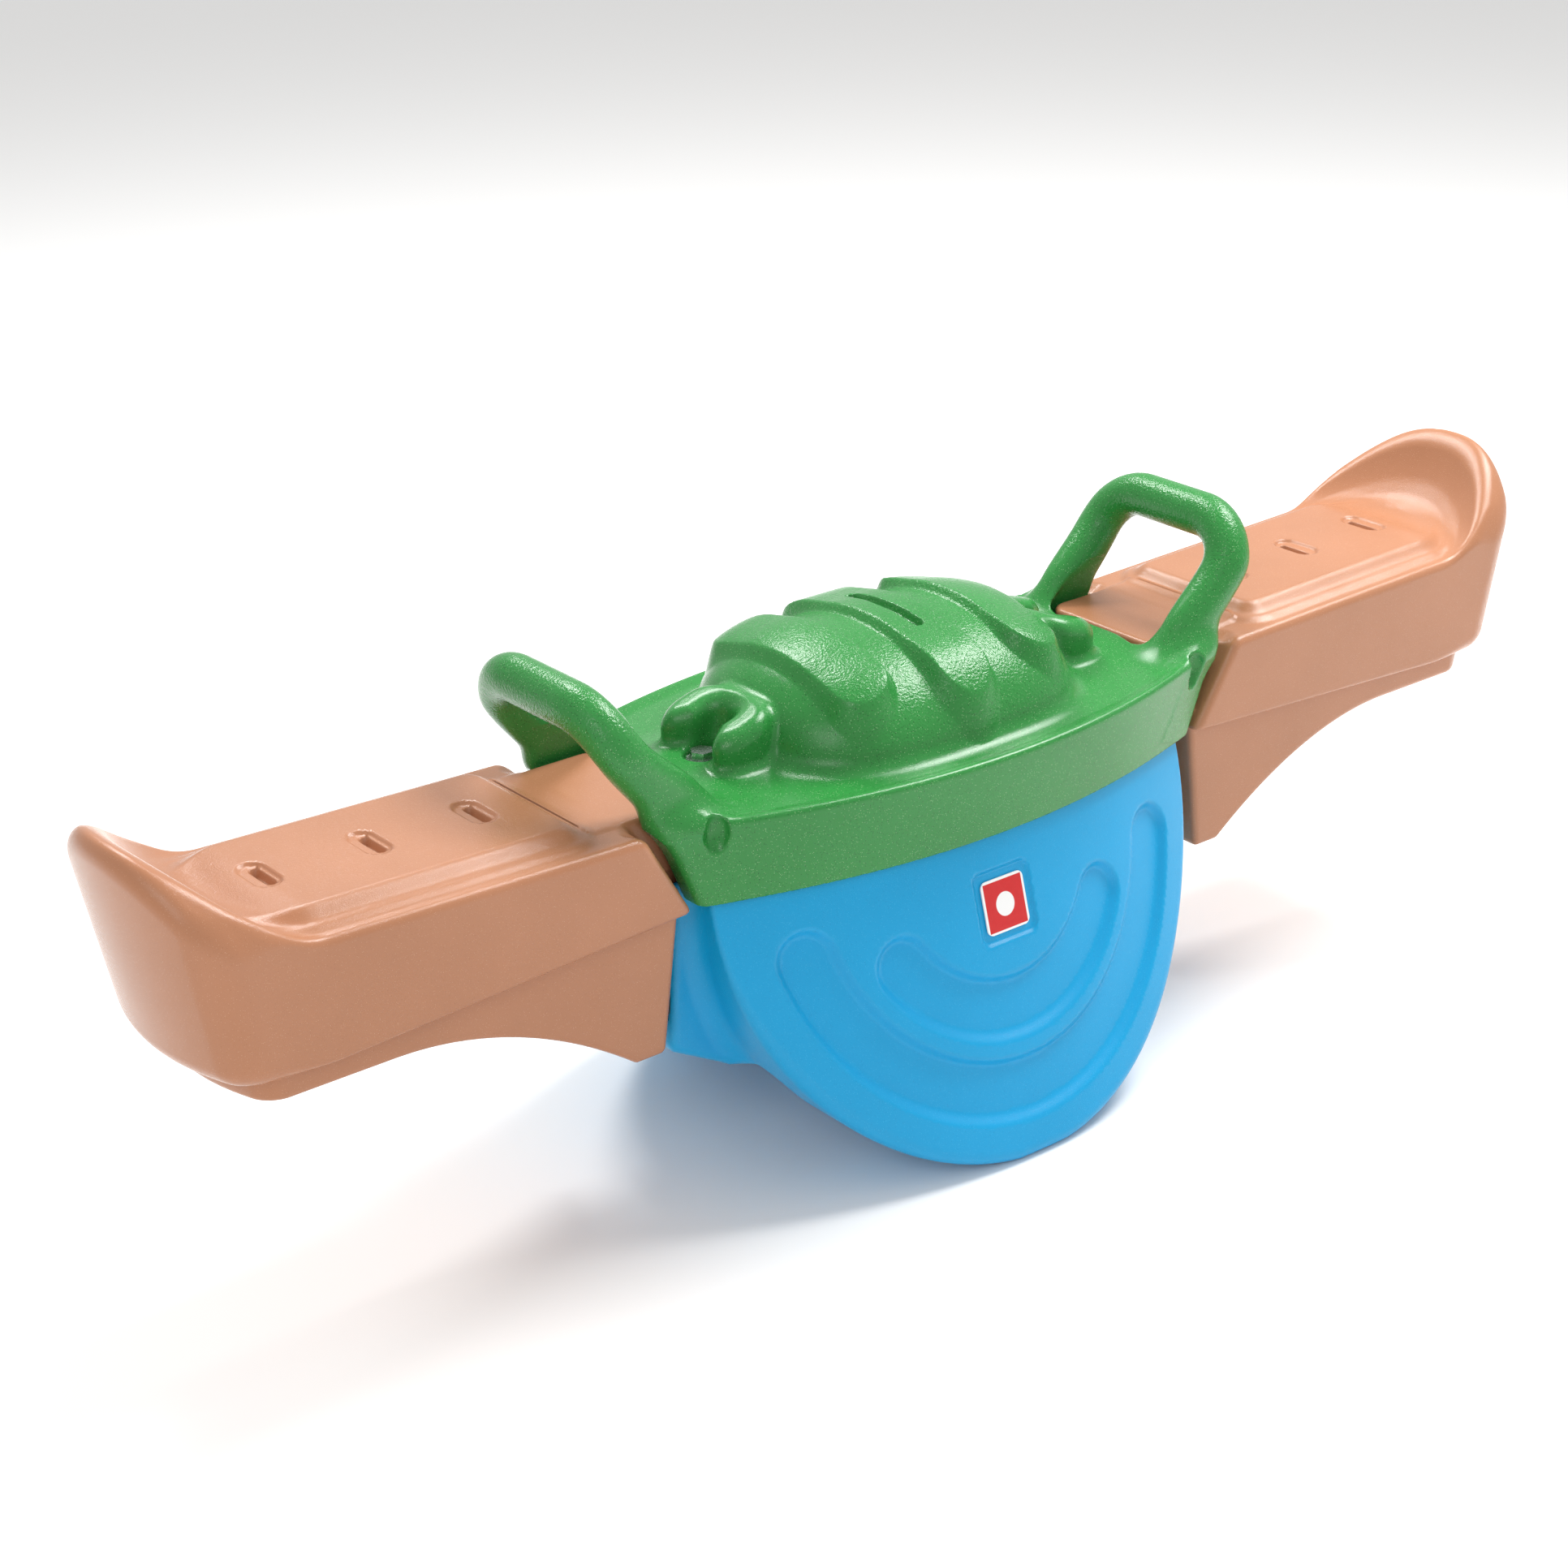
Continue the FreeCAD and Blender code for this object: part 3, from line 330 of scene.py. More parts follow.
def cover_field(x, y, z):
    # The skirt bows and leans, and its top rises to a rim and to a swell in the middle.
    up = (z - SKIRT_BOTTOM) / (DECK - SKIRT_BOTTOM)
    end_length = SKIRT_END + END_SLOPE * (z - SKIRT_BOTTOM)
    bow = WALL_BOW + WALL_BOW_GAIN * up
    wall = (np.abs(y) - WALL_HALF + WALL_LEAN * up - bow * (1 - (x / end_length) ** 2)) / BOWED
    end = (np.abs(x) - end_length) / math.hypot(1, END_SLOPE)
    plan = within(wall, end, COVER_CORNER)
    ridge = ease(1 + (wall + RIM_INSET) / RIM_WIDTH)
    swell = DECK_SWELL * ease((DECK_SWELL_HALF - np.abs(y)) / DECK_SWELL_RUN)
    deck = z - DECK + RIM_HEIGHT * (1 - ridge) - swell
    body = within(plan, deck, COVER_EDGE)

    crown = blunt_dome(x, y, z - DECK)
    crown = np.maximum(crown, DECK - DOME_DEPTH - z)
    body = joined(body, crown, DOME_FILLET)
    above = ease((z - DECK + BAND_BELOW_DECK) / BAND_FADE)
    height = BAND_HEIGHT + BAND_HEIGHT_GAIN * ease((np.abs(y) - BAND_GAIN_START) / BAND_GAIN_RUN)
    for place, reach in BANDS:
        band = stadium(x - place, y, reach, BAND_HALF)
        body = body - height * above * inside_step(band, BAND_BEVEL)
    curl_top = z - CURL_TOP + CURL_FALL * (np.abs(x) - CURL_TOP_X)
    curl = within(curl_distance(x, y), curl_top, CURL_ROUND)
    curl = np.maximum(curl, DECK - CURL_DEPTH - z)
    body = joined(body, curl, CURL_FILLET)

    # Legs flow into the end and side walls without standing proud of them at the bottom.
    rise, out = end_plane(x, z)
    proud = PROUD_LOW + PROUD_GAIN * ease((rise - PROUD_START) / PROUD_RUN)
    body = joined(body, handle_field(x, y, z), LEG_FILLET)
    body = np.maximum(body, within(wall - proud, out - proud, COVER_CORNER))
    body = within(body, SKIRT_BOTTOM - z, SKIRT_EDGE)

    slot = stadium(x, y, CROWN_SLOT_HALF, CROWN_SLOT_RADIUS)
    on_crown = ease((z - DECK - CROWN_SLOT_RISE) / CROWN_SLOT_FADE)
    body = body + CROWN_SLOT_DEPTH * inside_step(slot, CROWN_SLOT_BEVEL) * on_crown
    well = stadium(y, np.abs(x) - WELL_X, WELL_HALF, WELL_RADIUS)
    body = carved(body, np.maximum(well, WELL_FLOOR - z), WELL_EDGE)
    from_scoop = [value - place for value, place in zip((np.abs(x), np.abs(y), z), SCOOP_PLACE)]
    body = carved(body, ellipsoid(*from_scoop, *SCOOP_SIZE), SCOOP_EDGE)

    # The notch lets the seat's tongue through the deck, and the room holds it and the spigot.
    higher = np.maximum(z - DECK, 0)
    notch = within(np.abs(y) - NOTCH_HALF + NOTCH_SIDE_LEAN * higher,
                   NOTCH_START - np.abs(x) + NOTCH_END_LEAN * higher, NOTCH_CORNER)
    notch = np.maximum(notch / NOTCH_STEEPNESS, z - DECK - NOTCH_RISE)
    body = carved(body, notch, NOTCH_EDGE)
    room = within(np.abs(y) - NOTCH_HALF, z - ROOM_ROOF, ROOM_EDGE)
    room = np.maximum(room, np.abs(x) - ROOM_END)
    return np.maximum(body, -room)


# ---------------------------------------------------------------- seats

SEAT_HALF = 89.5
SEAT_SIDE_LEAN = 0.04
SEAT_LOW = 246
SEAT_CORNER = 22
SEAT_END = 635
SEAT_END_LEAN = 0.2
SEAT_END_LEVEL = 235
SEAT_END_BOW = 22
BOW_HALF = 93
SEAT_INNER = 252
SEAT_INNER_LEAN = 0.58
SEAT_INNER_STEEPNESS = 1.16
SEAT_INNER_EDGE = 7
UNDER_SLOPE = 0.055
UNDER_START = 258
UNDER_EDGE = 4
UNDER_EDGE_GAIN = 14
UNDER_EDGE_START = 540
UNDER_EDGE_RUN = 70

TOP_HEIGHT = 317
TOP_RISE = 8
TOP_RUN = 300
LIP_FOOT = 570
LIP_FOOT_BOW = 30
LIP_RUN = 76
LIP_CLIMB = 68
LIP_POWER = 2.3
LIP_TOP = 396
LIP_BASE = 334
LIP_HALF = 97
LIP_ARCH_POWER = 2.4
LIP_STEEPNESS = 1.25
LIP_ROUND = 12
TOP_EDGE = 7
TOP_EDGE_GAIN = 7
TOP_EDGE_START = 560
TOP_EDGE_RUN = 60

BEAM_HALF = 78
BEAM_LEAN = 0.02
BEAM_END = 612
BEAM_END_BOW = 18
BEAM_END_LEAN = 0.2
BEAM_END_LEVEL = 221
BEAM_CORNER = 16
BEAM_INNER = 258
BEAM_INNER_LEAN = 0.1226
BEAM_INNER_LEVEL = 241
BEAM_EDGE = 5
BEAM_TOP = 262
BELLY_HEIGHT = 209
BELLY_DROP = 75
BELLY_START = 297
BELLY_RUN = 200
BELLY_STEEPNESS = 0.2
BELLY_STEEP_START = 420
BELLY_STEEP_RUN = 100
BEAM_FILLET = 2

TONGUE_START = 229
TONGUE_HALF = 62
TONGUE_CORNER = 16
TONGUE_TOP = 319
TONGUE_LOW = 270
TONGUE_END = 320
TONGUE_EDGE = 4
TONGUE_FILLET = 5
SPIGOT_HALF = 54
SPIGOT_START = 146
SPIGOT_END = 280
SPIGOT_LOW = 150
SPIGOT_TOP = 310
POCKET_PLACE = (288, 74, 323)
POCKET_SIZE = (16, 11, 11)
POCKET_EDGE = 3

PAD_START = 327
PAD_HALF = 72
PAD_ROUND = 540
PAD_CORNER = 20
PAD_RISE = 8
PAD_INSET = 4
PAD_BEVEL = 16
LEDGE_RISE = 4
LEDGE_REACH = 8
LEDGE_BEVEL = 11
PAD_LEVEL = 300
PAD_LEVEL_FADE = 10
PAD_FADE = 0.8
PAD_FADE_START = 545
PAD_FADE_RUN = 60

SLOTS = (375, 460, 545)
SLOT_HALF = 11
SLOT_RIM_RADIUS = 9.5
SLOT_RIM_DEPTH = 2.6
SLOT_RIM_BEVEL = 4
SLOT_RADIUS = 3
SLOT_DEPTH = 6
SLOT_BEVEL = 3
SLOT_SHIFT = 2.5


def seat_top(x):
    return TOP_HEIGHT + TOP_RISE * (x - TOP_RUN) / TOP_RUN


def pad_distance(x, y):
    """Distance in plan to the raised pad, whose outer end is round."""
    outer = np.hypot(np.maximum(x - PAD_ROUND, 0), y) - PAD_HALF
    return within(outer, PAD_START - x, PAD_CORNER)


def seat_box(x, y, z):
    """The seat's upper box, whose top dips and then climbs into the arched back lip."""
    side = np.abs(y) - SEAT_HALF - SEAT_SIDE_LEAN * (z - SEAT_LOW)
    end = x - SEAT_END_LEAN * (z - SEAT_END_LEVEL) - SEAT_END + SEAT_END_BOW * (y / BOW_HALF) ** 2
    plan = within(side, end / BOWED, SEAT_CORNER)
    inner = (SEAT_INNER + SEAT_INNER_LEAN * (z - SEAT_LOW) - x) / SEAT_INNER_STEEPNESS
    plan = within(plan, inner, SEAT_INNER_EDGE)
    under = SEAT_LOW - UNDER_SLOPE * (x - UNDER_START) - z
    edge = UNDER_EDGE + UNDER_EDGE_GAIN * ease((x - UNDER_EDGE_START) / UNDER_EDGE_RUN)
    box = within(plan, under, edge)

    foot = LIP_FOOT - LIP_FOOT_BOW * (y / BOW_HALF) ** 2
    climb = np.maximum(x - foot, 0) / LIP_RUN
    tilt = LIP_CLIMB / LIP_RUN * LIP_POWER * climb ** (LIP_POWER - 1)
    dish = (z - seat_top(x) - LIP_CLIMB * climb ** LIP_POWER) / np.sqrt(1 + tilt ** 2)
    arch = LIP_BASE + (LIP_TOP - LIP_BASE) * (1 - (np.abs(y) / LIP_HALF) ** LIP_ARCH_POWER)
    top = within(dish, (z - arch) / LIP_STEEPNESS, LIP_ROUND)
    return within(box, top, TOP_EDGE + TOP_EDGE_GAIN * ease((x - TOP_EDGE_START) / TOP_EDGE_RUN))


def seat_beam(x, y, z):
    """The narrower beam below the box, arched underneath."""
    rise = BELLY_DROP * np.clip(1 - (x - BELLY_START) / BELLY_RUN, 0, 1) ** 2
    steepness = 1 + BELLY_STEEPNESS * ease((BELLY_STEEP_START - x) / BELLY_STEEP_RUN)
    belly = (BELLY_HEIGHT - rise - z) / steepness
    side = np.abs(y) - BEAM_HALF + BEAM_LEAN * (SEAT_LOW - z)
    end = x - BEAM_END + BEAM_END_BOW * (y / BEAM_HALF) ** 2 + BEAM_END_LEAN * (BEAM_END_LEVEL - z)
    beam = within(side, end, BEAM_CORNER)
    beam = within(beam, BEAM_INNER + BEAM_INNER_LEAN * (BEAM_INNER_LEVEL - z) - x, BEAM_EDGE)
    beam = within(beam, belly, BEAM_EDGE)
    return np.maximum(beam, z - BEAM_TOP)


def seat_field(x, y, z):
    whole = joined(seat_box(x, y, z), seat_beam(x, y, z), BEAM_FILLET)

    tongue = within(np.abs(y) - TONGUE_HALF, TONGUE_START - x, TONGUE_CORNER)
    tongue = within(tongue, np.maximum(z - TONGUE_TOP, x - TONGUE_END), TONGUE_EDGE)
    tongue = np.maximum(tongue, TONGUE_LOW - z)
    spigot = np.maximum(np.abs(y) - SPIGOT_HALF, np.maximum(SPIGOT_START - x, x - SPIGOT_END))
    spigot = np.maximum(spigot, np.maximum(SPIGOT_LOW - z, z - SPIGOT_TOP))
    whole = np.minimum(joined(whole, tongue, TONGUE_FILLET), spigot)
    from_pocket = [value - place for value, place in zip((x, np.abs(y), z), POCKET_PLACE)]
    whole = carved(whole, ellipsoid(*from_pocket, *POCKET_SIZE), POCKET_EDGE)

    pad = pad_distance(x, y)
    above = ease((z - PAD_LEVEL) / PAD_LEVEL_FADE)
    fading = above * (1 - PAD_FADE * ease((x - PAD_FADE_START) / PAD_FADE_RUN))
    whole = whole - PAD_RISE * fading * inside_step(pad + PAD_INSET, PAD_BEVEL)
    whole = whole - LEDGE_RISE * fading * inside_step(pad - LEDGE_REACH, LEDGE_BEVEL)
    for place in SLOTS:
        rim = stadium(x - place, y, SLOT_HALF, SLOT_RIM_RADIUS)
        slot = stadium(x - place + SLOT_SHIFT, y, SLOT_HALF, SLOT_RADIUS)
        whole = whole + SLOT_RIM_DEPTH * above * inside_step(rim, SLOT_RIM_BEVEL)
        whole = whole + SLOT_DEPTH * above * inside_step(slot, SLOT_BEVEL)
    return whole


# ---------------------------------------------------------------- skinning

CORNERS = [(i, j, k) for i in (0, 1) for j in (0, 1) for k in (0, 1)]
EDGES = [(a, b) for a in range(8) for b in range(a + 1, 8)
         if sum(abs(p - q) for p, q in zip(CORNERS[a], CORNERS[b])) == 1]
GRID_OFFSET = 0.137  # keeps the grid off the flat faces
SETTLING_STEPS = 3
LONGEST_MOVE = 0.5


def slope_of(field, points, reach=0.05):
    """The field's value at points and its gradient there."""
    x, y, z = points.T
    value = field(x, y, z)
    slope = np.stack([
        field(x + reach, y, z) - field(x - reach, y, z),
        field(x, y + reach, z) - field(x, y - reach, z),
        field(x, y, z + reach) - field(x, y, z - reach)], axis=1) / (2 * reach)
    return value, slope


def skin(field, low, high, step):
    """(points, quads, normals) of the surface where the field is zero."""
    axes = [np.arange(a - 2 * step, b + 3 * step, step) + GRID_OFFSET for a, b in zip(low, high)]
    x, y, z = np.ix_(*axes)
    values = field(x, y, z)
    inside = values < 0
    shape = [n - 1 for n in values.shape]
    count = sum(inside[i:i + shape[0], j:j + shape[1], k:k + shape[2]].astype(np.int8)
                for i, j, k in CORNERS)
    cells = np.argwhere((count > 0) & (count < len(CORNERS)))
    number = np.full(shape, -1, dtype=np.int64)
    number[tuple(cells.T)] = np.arange(len(cells))

    levels = [values[cells[:, 0] + i, cells[:, 1] + j, cells[:, 2] + k] for i, j, k in CORNERS]
    total = np.zeros((len(cells), 3))
    crossings = np.zeros(len(cells))
    for a, b in EDGES:
        crossed = (levels[a] < 0) != (levels[b] < 0)
        share = np.where(crossed, levels[a] / np.where(crossed, levels[a] - levels[b], 1), 0)
        spot = np.array(CORNERS[a]) + share[:, None] * (np.array(CORNERS[b]) - np.array(CORNERS[a]))
        total += spot * crossed[:, None]
        crossings += crossed
    origin = np.array([axis[0] for axis in axes])
    points = origin + (cells + total / crossings[:, None]) * step

    quads = []
    for axis in range(3):
        one, two = [other for other in range(3) if other != axis]
        if axis == 1:
            one, two = two, one
        first = [slice(None)] * 3
        second = [slice(None)] * 3
        first[axis], second[axis] = slice(0, -1), slice(1, None)
        starts, stops = inside[tuple(first)], inside[tuple(second)]
        for leaving in (True, False):
            spots = np.argwhere((starts & ~stops) if leaving else (~starts & stops))
            ring = []
            for back_one, back_two in ((1, 1), (0, 1), (0, 0), (1, 0)):
                cell = spots.copy()
                cell[:, one] -= back_one
                cell[:, two] -= back_two
                ring.append(number[tuple(cell.T)])
            quads.append(np.stack(ring if leaving else ring[::-1], axis=1))
    quads = np.concatenate(quads)

    for _ in range(SETTLING_STEPS):
        value, slope = slope_of(field, points)
        move = value[:, None] * slope / (np.sum(slope ** 2, axis=1)[:, None] + 1e-6)
        size = np.linalg.norm(move, axis=1)[:, None]
        points = points - move * np.minimum(1, LONGEST_MOVE * step / np.maximum(size, 1e-9))
    _, slope = slope_of(field, points)
    normals = slope / (np.linalg.norm(slope, axis=1)[:, None] + 1e-9)
    return points, quads, normals


def make_piece(name, surface, material, node, stipple=None):
    """A shown piece that stands for one CAD node."""
    points, quads, normals = surface
    mesh = bpy.data.meshes.new(name)
    mesh.from_pydata((points * MM).tolist(), [], quads.tolist())
    mesh.shade_smooth()
    mesh.normals_split_custom_set_from_vertices(normals.tolist())
    if stipple is not None:
        layer = mesh.attributes.new("stipple", "FLOAT", "POINT")
        layer.data.foreach_set("value", stipple.astype(np.float32))
    piece = bpy.data.objects.new(name, mesh)
    bpy.context.scene.collection.objects.link(piece)
    mesh.materials.append(material)
    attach(piece, "root")
    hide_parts(node)
    return piece


def mirrored(surface):
    points, quads, normals = surface
    flip = np.array([-1, 1, 1])
    return points * flip, quads[:, ::-1], normals * flip


# ---------------------------------------------------------------- materials

CLOUD_SCALE = 9
PALE_SPECKS = (1050, 0.32)
DARK_SPECKS = (760, 0.34)
SPECK_CORE = 0.6
FINE_GRAIN = 1.4
WAVE_SCALE = 60
WAVE_SHARE = 0.8
PEBBLE_SCALE = 480
PLASTIC_BUMP = 0.00016
PLASTIC_SHINE = 0.36

EMBLEM_DROP = 0.5
EMBLEM_TALLER = 1.03
DOT_EDGE = (0.0092, 0.0088)
BORDER_EDGE = (0.0188, 0.0192)


class Nodes:
    """A short way to write a node material."""

    def __init__(self, name):
        self.material = bpy.data.materials.new(name)
        self.material.use_nodes = True
        self.tree = self.material.node_tree
        self.shader = self.tree.nodes["Principled BSDF"]
        self.where = self.add("ShaderNodeTexCoord").outputs["Object"]

    def add(self, kind, **settings):
        node = self.tree.nodes.new(kind)
        for key, value in settings.items():
            setattr(node, key, value)
        return node

    def link(self, source, target):
        self.tree.links.new(source, target)

    def noise(self, scale, detail=2.0, rough=0.5):
        node = self.add("ShaderNodeTexNoise")
        node.inputs["Scale"].default_value = scale
        node.inputs["Detail"].default_value = detail
        node.inputs["Roughness"].default_value = rough
        self.link(self.where, node.inputs["Vector"])
        return node.outputs["Fac"]

    def specks(self, scale, size, share):
        """1 in small round specks, which only a share of the cells hold, and 0 between them."""
        cell = self.add("ShaderNodeTexVoronoi", feature="F1")
        cell.inputs["Scale"].default_value = scale
        self.link(self.where, cell.inputs["Vector"])
        dot = self.ramp(cell.outputs["Distance"], size, size * SPECK_CORE)
        parts = self.add("ShaderNodeSeparateColor")
        self.link(cell.outputs["Color"], parts.inputs["Color"])
        chosen = self.ramp(parts.outputs["Red"], share + 0.01, share)
        return self.math("MULTIPLY", dot, chosen)

    def ramp(self, source, start, stop):
        """0 at start and 1 at stop, whichever of them is the larger."""
        node = self.add("ShaderNodeMapRange")
        node.inputs["From Min"].default_value = start
        node.inputs["From Max"].default_value = stop
        self.link(source, node.inputs["Value"])
        return node.outputs["Result"]

    def math(self, operation, first, second):
        node = self.add("ShaderNodeMath", operation=operation)
        for socket, value in zip(node.inputs, (first, second)):
            if isinstance(value, (int, float)):
                socket.default_value = value
            else:
                self.link(value, socket)
        return node.outputs[0]

    def mix(self, factor, first, second):
        node = self.add("ShaderNodeMix", data_type="RGBA")
        for socket, value in ((node.inputs[0], factor), (node.inputs[6], first), (node.inputs[7], second)):
            if isinstance(value, (int, float)):
                socket.default_value = value
            elif isinstance(value, tuple):
                socket.default_value = value + (1,)
            else:
                self.link(value, socket)
        return node.outputs[2]

    def bump(self, height, distance, strength=1.0):
        node = self.add("ShaderNodeBump")
        node.inputs["Strength"].default_value = strength
        node.inputs["Distance"].default_value = distance
        self.link(height, node.inputs["Height"])
        return node.outputs["Normal"]


def moulded_plastic(name, colour, shade, pale, dark, rough, grain, pebble):
    """Rotomoulded plastic: fine flecks in the colour, an uneven gloss and a pebbled skin.

    pale and dark each give the flecks' colour, the share of cells that hold one, and strength.
    """
    n = Nodes(name)
    cloud = n.ramp(n.noise(CLOUD_SCALE, 3), 0.3, 0.7)
    tint = n.mix(cloud, colour, shade)
    tint = n.mix(n.math("MULTIPLY", n.specks(*PALE_SPECKS, pale[1]), pale[2]), tint, pale[0])
    tint = n.mix(n.math("MULTIPLY", n.specks(*DARK_SPECKS, dark[1]), dark[2]), tint, dark[0])
    n.link(tint, n.shader.inputs["Base Color"])
    gloss = n.ramp(n.noise(grain, 3), 0.25, 0.75)
    spread = n.add("ShaderNodeMapRange")
    spread.inputs["To Min"].default_value = rough[0]
    spread.inputs["To Max"].default_value = rough[1]
    n.link(gloss, spread.inputs["Value"])
    n.link(spread.outputs["Result"], n.shader.inputs["Roughness"])
    wave = n.math("MULTIPLY", n.noise(WAVE_SCALE, 2), WAVE_SHARE)
    height = n.math("ADD", n.noise(grain * FINE_GRAIN, 2), wave)
    stipple = n.add("ShaderNodeAttribute", attribute_name="stipple").outputs["Fac"]
    pebbles = n.math("MULTIPLY", n.noise(PEBBLE_SCALE, 1), stipple)
    height = n.math("ADD", height, n.math("MULTIPLY", pebbles, pebble))
    n.link(n.bump(height, PLASTIC_BUMP), n.shader.inputs["Normal"])
    n.shader.inputs["Specular IOR Level"].default_value = PLASTIC_SHINE
    return n.material


def zinc_steel():
    n = Nodes("zinc_steel")
    n.shader.inputs["Metallic"].default_value = 1.0
    streak = n.ramp(n.noise(700, 3), 0.3, 0.7)
    n.link(n.mix(streak, (0.62, 0.63, 0.65), (0.48, 0.49, 0.5)), n.shader.inputs["Base Color"])
    rough = n.math("ADD", n.math("MULTIPLY", n.noise(900, 2), 0.2), 0.16)
    n.link(rough, n.shader.inputs["Roughness"])
    n.link(n.bump(n.noise(1200, 2), 0.00005), n.shader.inputs["Normal"])
    return n.material


def emblem_print():
    """A plain white dot and border on a glossy red sticker."""
    n = Nodes("emblem_print")
    place = n.add("ShaderNodeSeparateXYZ")
    n.link(n.where, place.inputs["Vector"])
    side = n.math("ABSOLUTE", place.outputs["X"], 0)
    middle = (EMBLEM_HEIGHT - EMBLEM_DROP) * MM
    rise = n.math("ABSOLUTE", n.math("SUBTRACT", place.outputs["Z"], middle), 0)
    squares = n.math("ADD", n.math("MULTIPLY", side, side), n.math("MULTIPLY", rise, rise))
    dot = n.ramp(n.math("SQRT", squares, 0), *DOT_EDGE)
    border = n.ramp(n.math("MAXIMUM", side, n.math("MULTIPLY", rise, EMBLEM_TALLER)), *BORDER_EDGE)
    red = n.mix(n.noise(300, 2), (0.62, 0.012, 0.012), (0.55, 0.01, 0.012))
    n.link(n.mix(n.math("MAXIMUM", dot, border), red, (0.85, 0.85, 0.84)), n.shader.inputs["Base Color"])
    n.link(n.bump(n.noise(220, 2), 0.0001), n.shader.inputs["Normal"])
    n.link(n.math("ADD", n.math("MULTIPLY", n.noise(500, 2), 0.1), 0.18), n.shader.inputs["Roughness"])
    return n.material


TAN = moulded_plastic(
    "tan_plastic", colour=(0.46, 0.205, 0.108), shade=(0.42, 0.185, 0.095),
    pale=((0.85, 0.6, 0.4), 0.16, 0.25), dark=((0.26, 0.1, 0.04), 0.1, 0.25),
    rough=(0.17, 0.25), grain=1100, pebble=0.7)
GREEN = moulded_plastic(
    "green_plastic", colour=(0.034, 0.25, 0.052), shade=(0.026, 0.22, 0.042),
    pale=((0.6, 0.9, 0.5), 0.16, 0.5), dark=((0.003, 0.03, 0.006), 0.25, 0.75),
    rough=(0.12, 0.2), grain=900, pebble=3.4)
BLUE = moulded_plastic(
    "blue_plastic", colour=(0.002, 0.335, 0.65), shade=(0.002, 0.315, 0.61),
    pale=((0.12, 0.6, 0.9), 0.2, 0.35), dark=((0.002, 0.16, 0.4), 0.12, 0.35),
    rough=(0.28, 0.38), grain=1100, pebble=1.0)


# ---------------------------------------------------------------- pieces

GRID = 2.5
BASE_GRID = GRID * 1.15
COVER_GRID = GRID * 0.88
BASE_REACH = (270, 195)
COVER_REACH = (325, 150)
COVER_TOP = 425
SEAT_BOX_LOW = (146, -98, 132)
SEAT_BOX_HIGH = (672, 98, LIP_TOP + 4)

GRIP_HEIGHT = 350
GRIP_START = 230
GRIP_FADE = 20
CROWN_HEIGHT = 322
CROWN_HEIGHT_FADE = 8
CROWN_END = 110
CROWN_END_FADE = 12
STIPPLE_INSET = 6
STIPPLE_BEVEL = 4
STIPPLE_HEIGHT = 315
STIPPLE_FADE = 6

base_x, base_y = BASE_REACH
base = skin(base_field, (-base_x, -base_y, 0), (base_x, base_y, BASE_TOP), BASE_GRID)
make_piece("base_shell", base, BLUE, "rocker_base")

# The cover is pebbled on the grips and on the crown, and each seat on its pad.
reach_x, reach_y = COVER_REACH
cover = skin(cover_field, (-reach_x, -reach_y, SKIRT_BOTTOM), (reach_x, reach_y, COVER_TOP), COVER_GRID)
cover_x, _, cover_z = cover[0].T
grips = ease((cover_z - GRIP_HEIGHT) / GRIP_FADE) * ease((np.abs(cover_x) - GRIP_START) / GRIP_FADE)
crown = ease((cover_z - CROWN_HEIGHT) / CROWN_HEIGHT_FADE)
crown = crown * ease((CROWN_END - np.abs(cover_x)) / CROWN_END_FADE)
make_piece("cover_shell", cover, GREEN, "top_cover", np.maximum(grips, crown))

seat = skin(seat_field, SEAT_BOX_LOW, SEAT_BOX_HIGH, GRID)
seat_x, seat_y, seat_z = seat[0].T
stippled = inside_step(pad_distance(seat_x, seat_y) + STIPPLE_INSET, STIPPLE_BEVEL)
stippled = stippled * ease((seat_z - STIPPLE_HEIGHT) / STIPPLE_FADE)
make_piece("seat_shell_right", seat, TAN, "seat_right", stippled)
make_piece("seat_shell_left", mirrored(seat), TAN, "seat_left", stippled)

steel = zinc_steel()
sticker = emblem_print()
REPLACED = ("rocker_base", "top_cover", "seat_left", "seat_right")
for name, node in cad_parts.items():
    if name not in REPLACED:
        node.data.materials.clear()
        node.data.materials.append(sticker if name.startswith("emblem") else steel)


# ---------------------------------------------------------------- floor, light and camera

FLOOR_REACH = 12
FLOOR_COLOUR = (0.95, 0.945, 0.935, 1)
FLOOR_ROUGHNESS = 0.85
LAMP_TARGET = (0, 0, 0.2)
LAMPS = (
    ("key", (0.3, 1.6, 2.5), 0.8, 44),
    ("top", (1.6, -0.1, 2.5), 1.1, 76),
    ("fill", (-2.4, -1.6, 2.0), 1.2, 14),
)
STUDIO_BRIGHTNESS = 0.7
CAMERA_ANGLES = (38.16, 23.65, -1.1)
CAMERA_LENS = 69.7
CAMERA_DISTANCE = 2.3605
CAMERA_TARGET = (0, 0, 0.25)
CAMERA_SIDE = 0.0784
CAMERA_DROP = 0.0052


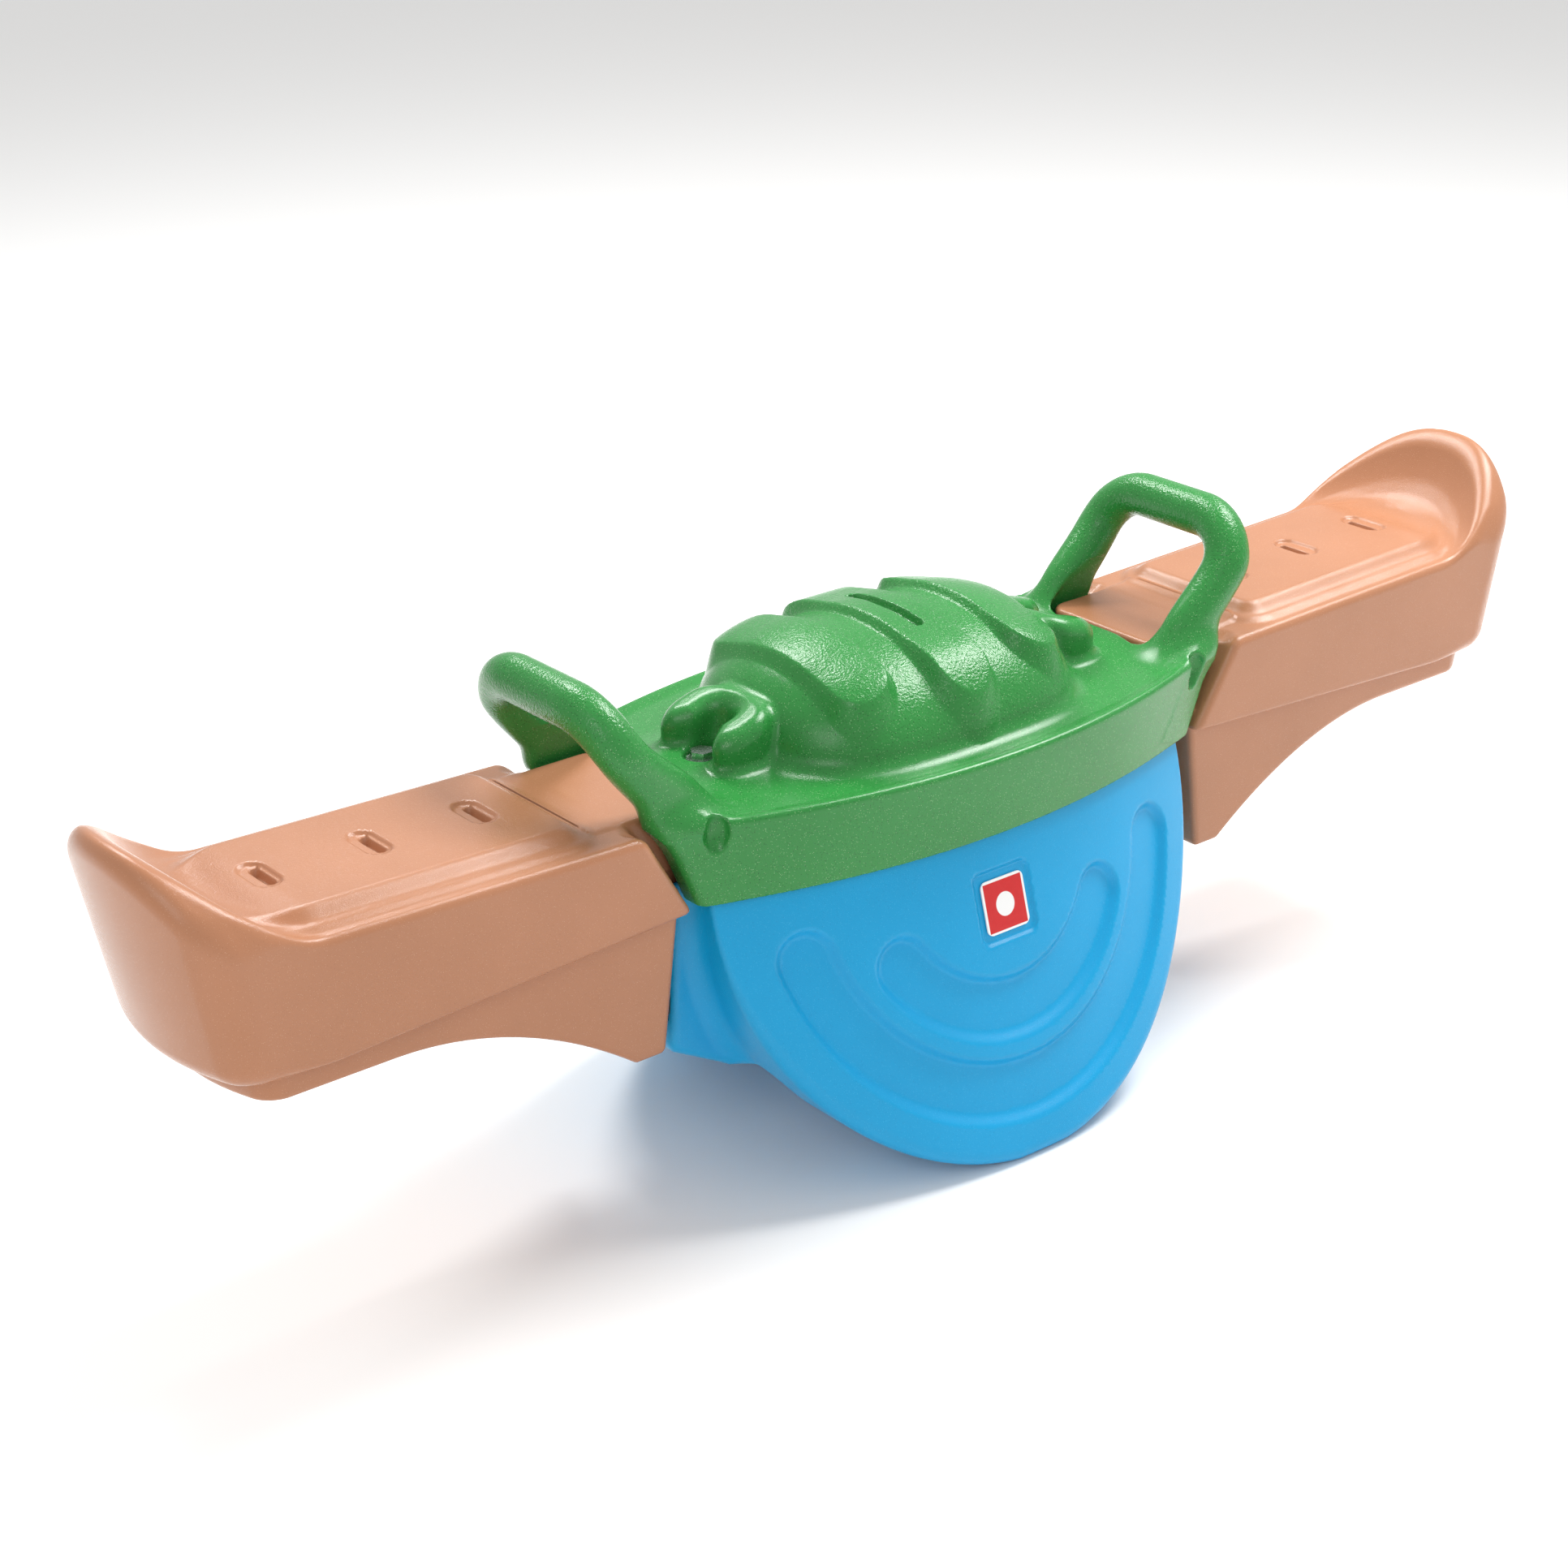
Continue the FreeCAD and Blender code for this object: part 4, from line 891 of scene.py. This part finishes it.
def make_floor():
    mesh = bpy.data.meshes.new("floor")
    corners = [(-1, -1), (1, -1), (1, 1), (-1, 1)]
    mesh.from_pydata([(x * FLOOR_REACH, y * FLOOR_REACH, 0) for x, y in corners], [], [(0, 1, 2, 3)])
    floor = bpy.data.objects.new("floor", mesh)
    bpy.context.scene.collection.objects.link(floor)
    paper = bpy.data.materials.new("floor_paper")
    paper.use_nodes = True
    shader = paper.node_tree.nodes["Principled BSDF"]
    shader.inputs["Base Color"].default_value = FLOOR_COLOUR
    shader.inputs["Roughness"].default_value = FLOOR_ROUGHNESS
    mesh.materials.append(paper)


def make_lamp(name, place, size, power):
    lamp = bpy.data.lights.new(name, "AREA")
    lamp.shape = "RECTANGLE"
    lamp.size = size
    lamp.size_y = size
    lamp.energy = power
    thing = bpy.data.objects.new(name, lamp)
    thing.location = place
    thing.rotation_euler = (Vector(LAMP_TARGET) - Vector(place)).to_track_quat("-Z", "Y").to_euler()
    bpy.context.scene.collection.objects.link(thing)


def make_camera():
    """The camera looks along +Y turned by its azimuth towards +X, a little down."""
    azimuth, elevation, roll = (math.radians(angle) for angle in CAMERA_ANGLES)
    ahead = math.cos(elevation)
    forward = Vector((math.sin(azimuth) * ahead, math.cos(azimuth) * ahead, -math.sin(elevation)))
    level = Vector((math.cos(azimuth), -math.sin(azimuth), 0))
    above = level.cross(forward)
    right = level * math.cos(roll) + above * math.sin(roll)
    up = above * math.cos(roll) - level * math.sin(roll)
    place = Vector(CAMERA_TARGET) - CAMERA_SIDE * right - CAMERA_DROP * up - CAMERA_DISTANCE * forward
    lens = bpy.data.cameras.new("camera")
    lens.lens = CAMERA_LENS
    camera = bpy.data.objects.new("camera", lens)
    turn = Matrix((right, up, -forward)).transposed()
    camera.matrix_world = Matrix.Translation(place) @ turn.to_4x4()
    bpy.context.scene.collection.objects.link(camera)
    bpy.context.scene.camera = camera


make_floor()
for lamp_name, lamp_place, lamp_size, lamp_power in LAMPS:
    make_lamp(lamp_name, lamp_place, lamp_size, lamp_power)
world = bpy.data.worlds.new("studio")
world.use_nodes = True
background = world.node_tree.nodes["Background"]
background.inputs["Color"].default_value = (1, 1, 1, 1)
background.inputs["Strength"].default_value = STUDIO_BRIGHTNESS
bpy.context.scene.world = world
bpy.context.scene.view_settings.view_transform = "Standard"
make_camera()
